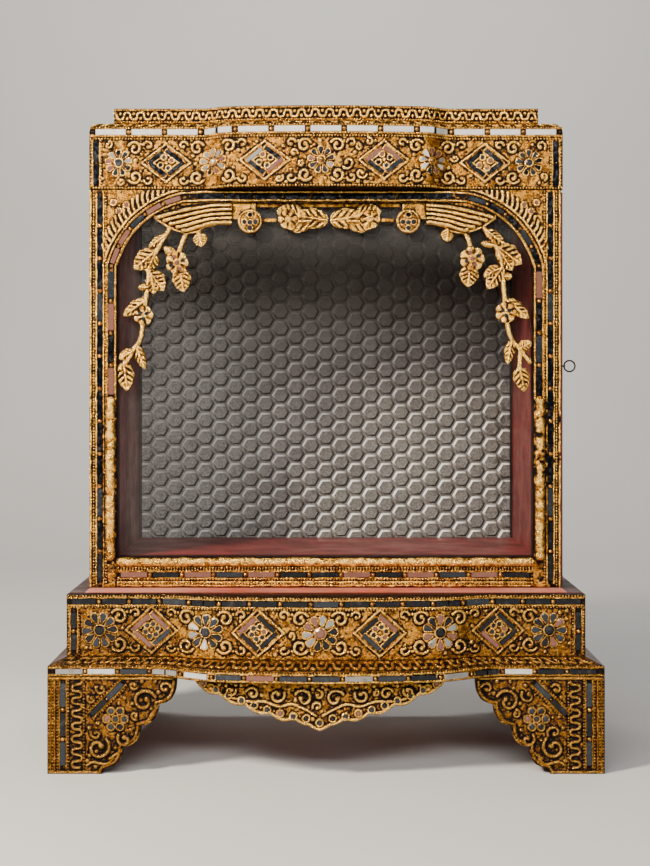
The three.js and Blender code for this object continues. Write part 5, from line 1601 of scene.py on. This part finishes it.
def garland():
    """The centre of the arch: paired leaves and flowers between two studded discs."""
    face = Face("door", garland_y[1], FLAT, door_middle)
    left, right = garland_x[0] - door_middle, garland_x[1] - door_middle
    top = garland_z[1]
    middle = (left + right) / 2
    ends = [(left, left + 22, left + 16.5), (right - 22, right, right - 16.5)]
    leaves, blooms = [], []
    for side in (-1, 1):
        lean = 0 if side > 0 else math.pi
        for out, drop, length, width, tilt in GARLAND_LEAVES:
            leaves.append(((middle + side * out, top - drop), length, width, lean + side * tilt))
        blooms.append(((middle + side * 39, top - 15), 9.5))
    discs = [((x, top - 17), 11.5) for *_, x in ends]

    def outline(x, z):
        d = inside_distance(x, z, rectangle(left, top - 3.4, right, top))
        for a, b, _ in ends:
            d = np.minimum(d, inside_distance(x, z, rectangle(a, top - 15, b, top)))
        for side, (spot, _) in zip((-1, 1), discs):
            start, end = sorted([spot[0], middle + side * 44])
            link = rectangle(start, top - 17.5, end, top - 14.5)
            lug = rectangle(middle + side * 33 - 8, top - 12, middle + side * 33 + 8, top)
            d = np.minimum(d, inside_distance(x, z, link))
            d = np.minimum(d, inside_distance(x, z, lug))
        for spot, radius in discs:
            d = np.minimum(d, np.hypot(x - spot[0], z - spot[1]) - radius)
        for leaf in leaves:
            d = np.minimum(d, leaf_distance(x, z, *leaf))
        for spot, radius in blooms:
            d = np.minimum(d, bloom_distance(x, z, spot, radius, 6))
        return np.maximum(d, z - top)

    def lay(relief):
        x, z = relief.x, relief.z
        h = np.full(x.shape, BOARD - 3.2)
        for a, b, _ in ends:
            d = inside_distance(x, z, rectangle(a, top - 15, b, top))
            h = np.where(d < 0.3, BOARD - 1.2 + 0.5 * np.clip(-d / 1.5, 0, 1), h)
        for spot, radius in discs:
            r = np.hypot(x - spot[0], z - spot[1]) / radius
            h = np.where(r < 1.02, BOARD - 0.6 + 1.2 * np.clip(1 - r ** 3, 0, 1), h)
        for leaf in leaves:
            h = np.where(leaf_distance(x, z, *leaf) < 0.5, np.maximum(h, leaf_height(x, z, *leaf)), h)
        for spot, radius in blooms:
            h = np.where(bloom_distance(x, z, spot, radius, 6) < 0.5, bloom_height(x, z, spot, radius, 6), h)
        relief.height = h
        for spot, radius in discs:
            relief.ring(*spot, radius - 1.4, 1.2, BOARD + 1.4)
            for dx, dz in STUDDED:
                relief.ring(spot[0] + dx, spot[1] + dz, 2.7, 0.8, BOARD + 1.7)
        relief.pits(0.25, 3, 191)

    raised = Face("door", garland_y[1] - BOARD - 0.5, FLAT, door_middle)
    for spot, _ in discs:
        for dx, dz in STUDDED:
            raised.stone("disc", spot[0] + dx, spot[1] + dz, (4.2, 1.1, 4.2), tone=GREY if dz < 3 else DARK)
    cut_board("carved_garland", face, garland_y[1], left, right, garland_z[0], top, outline, lay,
              "garland", gilt, 0.62)


# The pressed sheet behind


def hexagon_tree():
    """Presses a hexagon on each point and realises them."""
    tree, given = node_group("press_hexagons", [("Hexagon", "NodeSocketObject"),
                                                ("Material", "NodeSocketMaterial")])
    hexagon = add(tree, "GeometryNodeObjectInfo", {"transform_space": "ORIGINAL"},
                  {"Object": given.outputs["Hexagon"]})
    placed = add(tree, "GeometryNodeInstanceOnPoints", None, {
        "Points": given.outputs["Geometry"], "Instance": hexagon.outputs["Geometry"]})
    return realise(tree, given, placed)


def hexagon_sheet():
    """One hexagon in rings of a share of its size and a depth, pressed all over, trimmed to the sheet."""
    column, row = 16.1, 17.9
    wide = column / 0.75
    front = sheet_y[0] + 1.6
    rings = [(0.99, 0.4), (0.93, 0.3), (0.70, -1.4), (0.68, -1.45), (0.62, -1.25), (0.58, -1.25)]
    verts, faces = [], []
    for scale, y in rings:
        for k in range(6):
            a = k * math.pi / 3
            verts.append((scale * wide / 2 * math.cos(a), y, scale * row / math.sqrt(3) * math.sin(a)))
    count = len(rings)
    verts.append((0, -1.1, 0))
    for level in range(count - 1):
        for k in range(6):
            n = (k + 1) % 6
            faces.append((level * 6 + k, (level + 1) * 6 + k, (level + 1) * 6 + n, level * 6 + n))
    for k in range(6):
        faces.append(((count - 1) * 6 + k, len(verts) - 1, (count - 1) * 6 + (k + 1) % 6))
    faces.append(tuple(range(6)))
    mesh = bpy.data.meshes.new("hexagon")
    mesh.from_pydata([tuple(v * MM for v in p) for p in verts], [], faces)
    lit = (-0.75, 0.5, 1.1, 0.9, -0.1, -1.0)  # painted light: the bevels that face up and left are painted bright, those facing down and right painted dark
    bevels = [-1] * 6 + [share * v for share in (0.8, 1, 0.5, 0, 0) for v in lit] + [0]
    add_attribute(mesh, "painted_bevel_light", bevels)
    pattern = new_object("hexagon_pattern", mesh)
    points = []
    for i in range(-13, 14):
        for j in range(-1, 24):
            x, z = i * column, sheet_z[0] + (j + 0.5 * (i % 2)) * row
            if (sheet_x[0] - wide / 2 < x < sheet_x[1] + wide / 2
                    and sheet_z[0] - row / 2 < z < sheet_z[1] + row / 2):
                points.append((x * MM, front * MM, z * MM))
    seeds = bpy.data.meshes.new("hexagon_points")
    seeds.from_pydata(points, [], [])
    made = grow("pressed_hexagon_sheet", seeds, hexagon_tree(), {"Hexagon": pattern, "Material": silvered})
    bpy.data.objects.remove(pattern)
    shape = bmesh.new()
    shape.from_mesh(made.data)
    bmesh.ops.recalc_face_normals(shape, faces=shape.faces)
    for spot, normal in (((sheet_x[0], 0, 0), (-1, 0, 0)), ((sheet_x[1], 0, 0), (1, 0, 0)),
                         ((0, 0, sheet_z[0]), (0, 0, -1)), ((0, 0, sheet_z[1]), (0, 0, 1))):
        cut = bmesh.ops.bisect_plane(shape, geom=shape.verts[:] + shape.edges[:] + shape.faces[:], dist=1e-7,
                                     plane_co=Vector(spot) * MM, plane_no=normal, clear_outer=True)
        rim = [e for e in cut["geom_cut"] if isinstance(e, bmesh.types.BMEdge)]
        bmesh.ops.edgeloop_fill(shape, edges=rim)
    back = bmesh.ops.create_cube(shape, size=1)["verts"]
    middle = [(sheet_x[0] + sheet_x[1]) / 2, (front + sheet_y[1]) / 2, (sheet_z[0] + sheet_z[1]) / 2]
    extent = [sheet_x[1] - sheet_x[0], sheet_y[1] - front, sheet_z[1] - sheet_z[0]]
    for v in back:
        v.co = Vector([(m + c * e) * MM for m, c, e in zip(middle, v.co, extent)])
    shape.to_mesh(made.data)
    shape.free()
    dress(made, silvered, "shrine", ["hexagon_sheet"])


# Lays every front, then sets what was collected on the way

base_frieze()
cornice_frieze()
ledge()
edge_moulding()
crown()
for side, word in ((-1, "left"), (1, "right")):
    front_foot(side, word)
    stile(side, word)
    spandrel(side, word)
apron()
bottom_rail()
top_rail()
garland()
hexagon_sheet()
set_all_stones({"tile": glass_stone, "petal": glass_stone, "disc": glass_stone, "stud": stud_metal})
string_all_beads(gilt)

# Plain boards keep their solids and take a finish
finishes = {
    "post_": inner_wood, "side_panel_": inner_wood, "case_": inner_wood, "base_top": red_wood,
    "back_board": dark_wood, "base_": dark_wood, "ledge_": dark_wood, "foot_": dark_wood,
    "cornice_": dark_wood, "door_glass": clear, "hinge_": iron, "door_eye": iron,
}
for name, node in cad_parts.items():
    if node.hide_render:
        continue
    finish_for = next(made for start, made in finishes.items() if name.startswith(start))
    node.data.materials.clear()
    node.data.materials.append(finish_for)

# The studio: a pale floor that sweeps up behind, soft lights, and the camera of the photograph


def studio():
    """A sheet of pale paper: floor, bend and wall, in metres."""
    reach, behind, bend = 4.0, 1.6, 0.8
    profile = [(-2.4, 0.0), (behind, 0.0)]
    profile += [(behind + bend * math.sin(a), bend * (1 - math.cos(a)))
                for a in np.linspace(0, math.pi / 2, 16)[1:]]
    profile.append((behind + bend, 3.4))
    verts = [(x, y, z) for x in (-reach, reach) for y, z in profile]
    count = len(profile)
    faces = [(k, k + count, k + count + 1, k + 1) for k in range(count - 1)]
    mesh = bpy.data.meshes.new("studio_sweep")
    mesh.from_pydata(verts, [], faces)
    mesh.polygons.foreach_set("use_smooth", [True] * len(faces))
    sweep = new_object("studio_sweep", mesh)
    paper, tree = new_material("pale_paper")
    tint = blend(tree, noise(tree, place(tree), 400, 2), hexcolour("#C9C6C1"), hexcolour("#D2CFCA"))
    finish(tree, add(tree, "ShaderNodeBsdfPrincipled", None, {"Base Color": tint, "Roughness": 0.9}))
    mesh.materials.append(paper)


def softbox(name, spot, aim, size, power, colour):
    light = bpy.data.lights.new(name, "AREA")
    light.shape, light.size, light.size_y = "RECTANGLE", size[0], size[1]
    light.energy, light.color = power, hexcolour(colour)[:3]
    made = new_object(name, light)
    made.location = spot
    made.rotation_euler = (Vector(aim) - Vector(spot)).to_track_quat("-Z", "Y").to_euler()


studio()
softbox("key_left", (-0.95, -1.05, 1.25), (0, 0, 0.36), (0.3, 0.3), 56, "#FFF4E4")
softbox("into_the_case", (-0.2, -1.9, 1.2), (0, 0, 0.3), (1.5, 0.35), 38, "#FFFFFF")
softbox("fill_right", (1.5, -1.6, 0.8), (0, 0, 0.3), (0.8, 1.0), 7, "#F2F5FF")
softbox("backdrop", (0.0, 0.9, 1.9), (0, 2.2, 0.5), (1.6, 0.6), 30, "#FFFFFF")
world = bpy.data.worlds.new("soft_room")
bpy.context.scene.world = world
world.use_nodes = True
world.node_tree.nodes["Background"].inputs["Color"].default_value = hexcolour("#D6D6D6")
world.node_tree.nodes["Background"].inputs["Strength"].default_value = 0.05

CAMERA_AWAY, CAMERA_HIGH, CAMERA_ASIDE = 1600, 353.6, -0.95  # from the door's face, the ground, the middle
camera_data = bpy.data.cameras.new("camera")
camera_data.lens, camera_data.sensor_width = 70.0, 36.0
camera_data.shift_y = -0.0554
camera_data.clip_start, camera_data.clip_end = 0.05, 30
camera = new_object("camera", camera_data)
camera.location = (CAMERA_ASIDE * MM, (door_face - CAMERA_AWAY) * MM, CAMERA_HIGH * MM)
camera.rotation_euler = (math.pi / 2, 0, 0)
bpy.context.scene.camera = camera
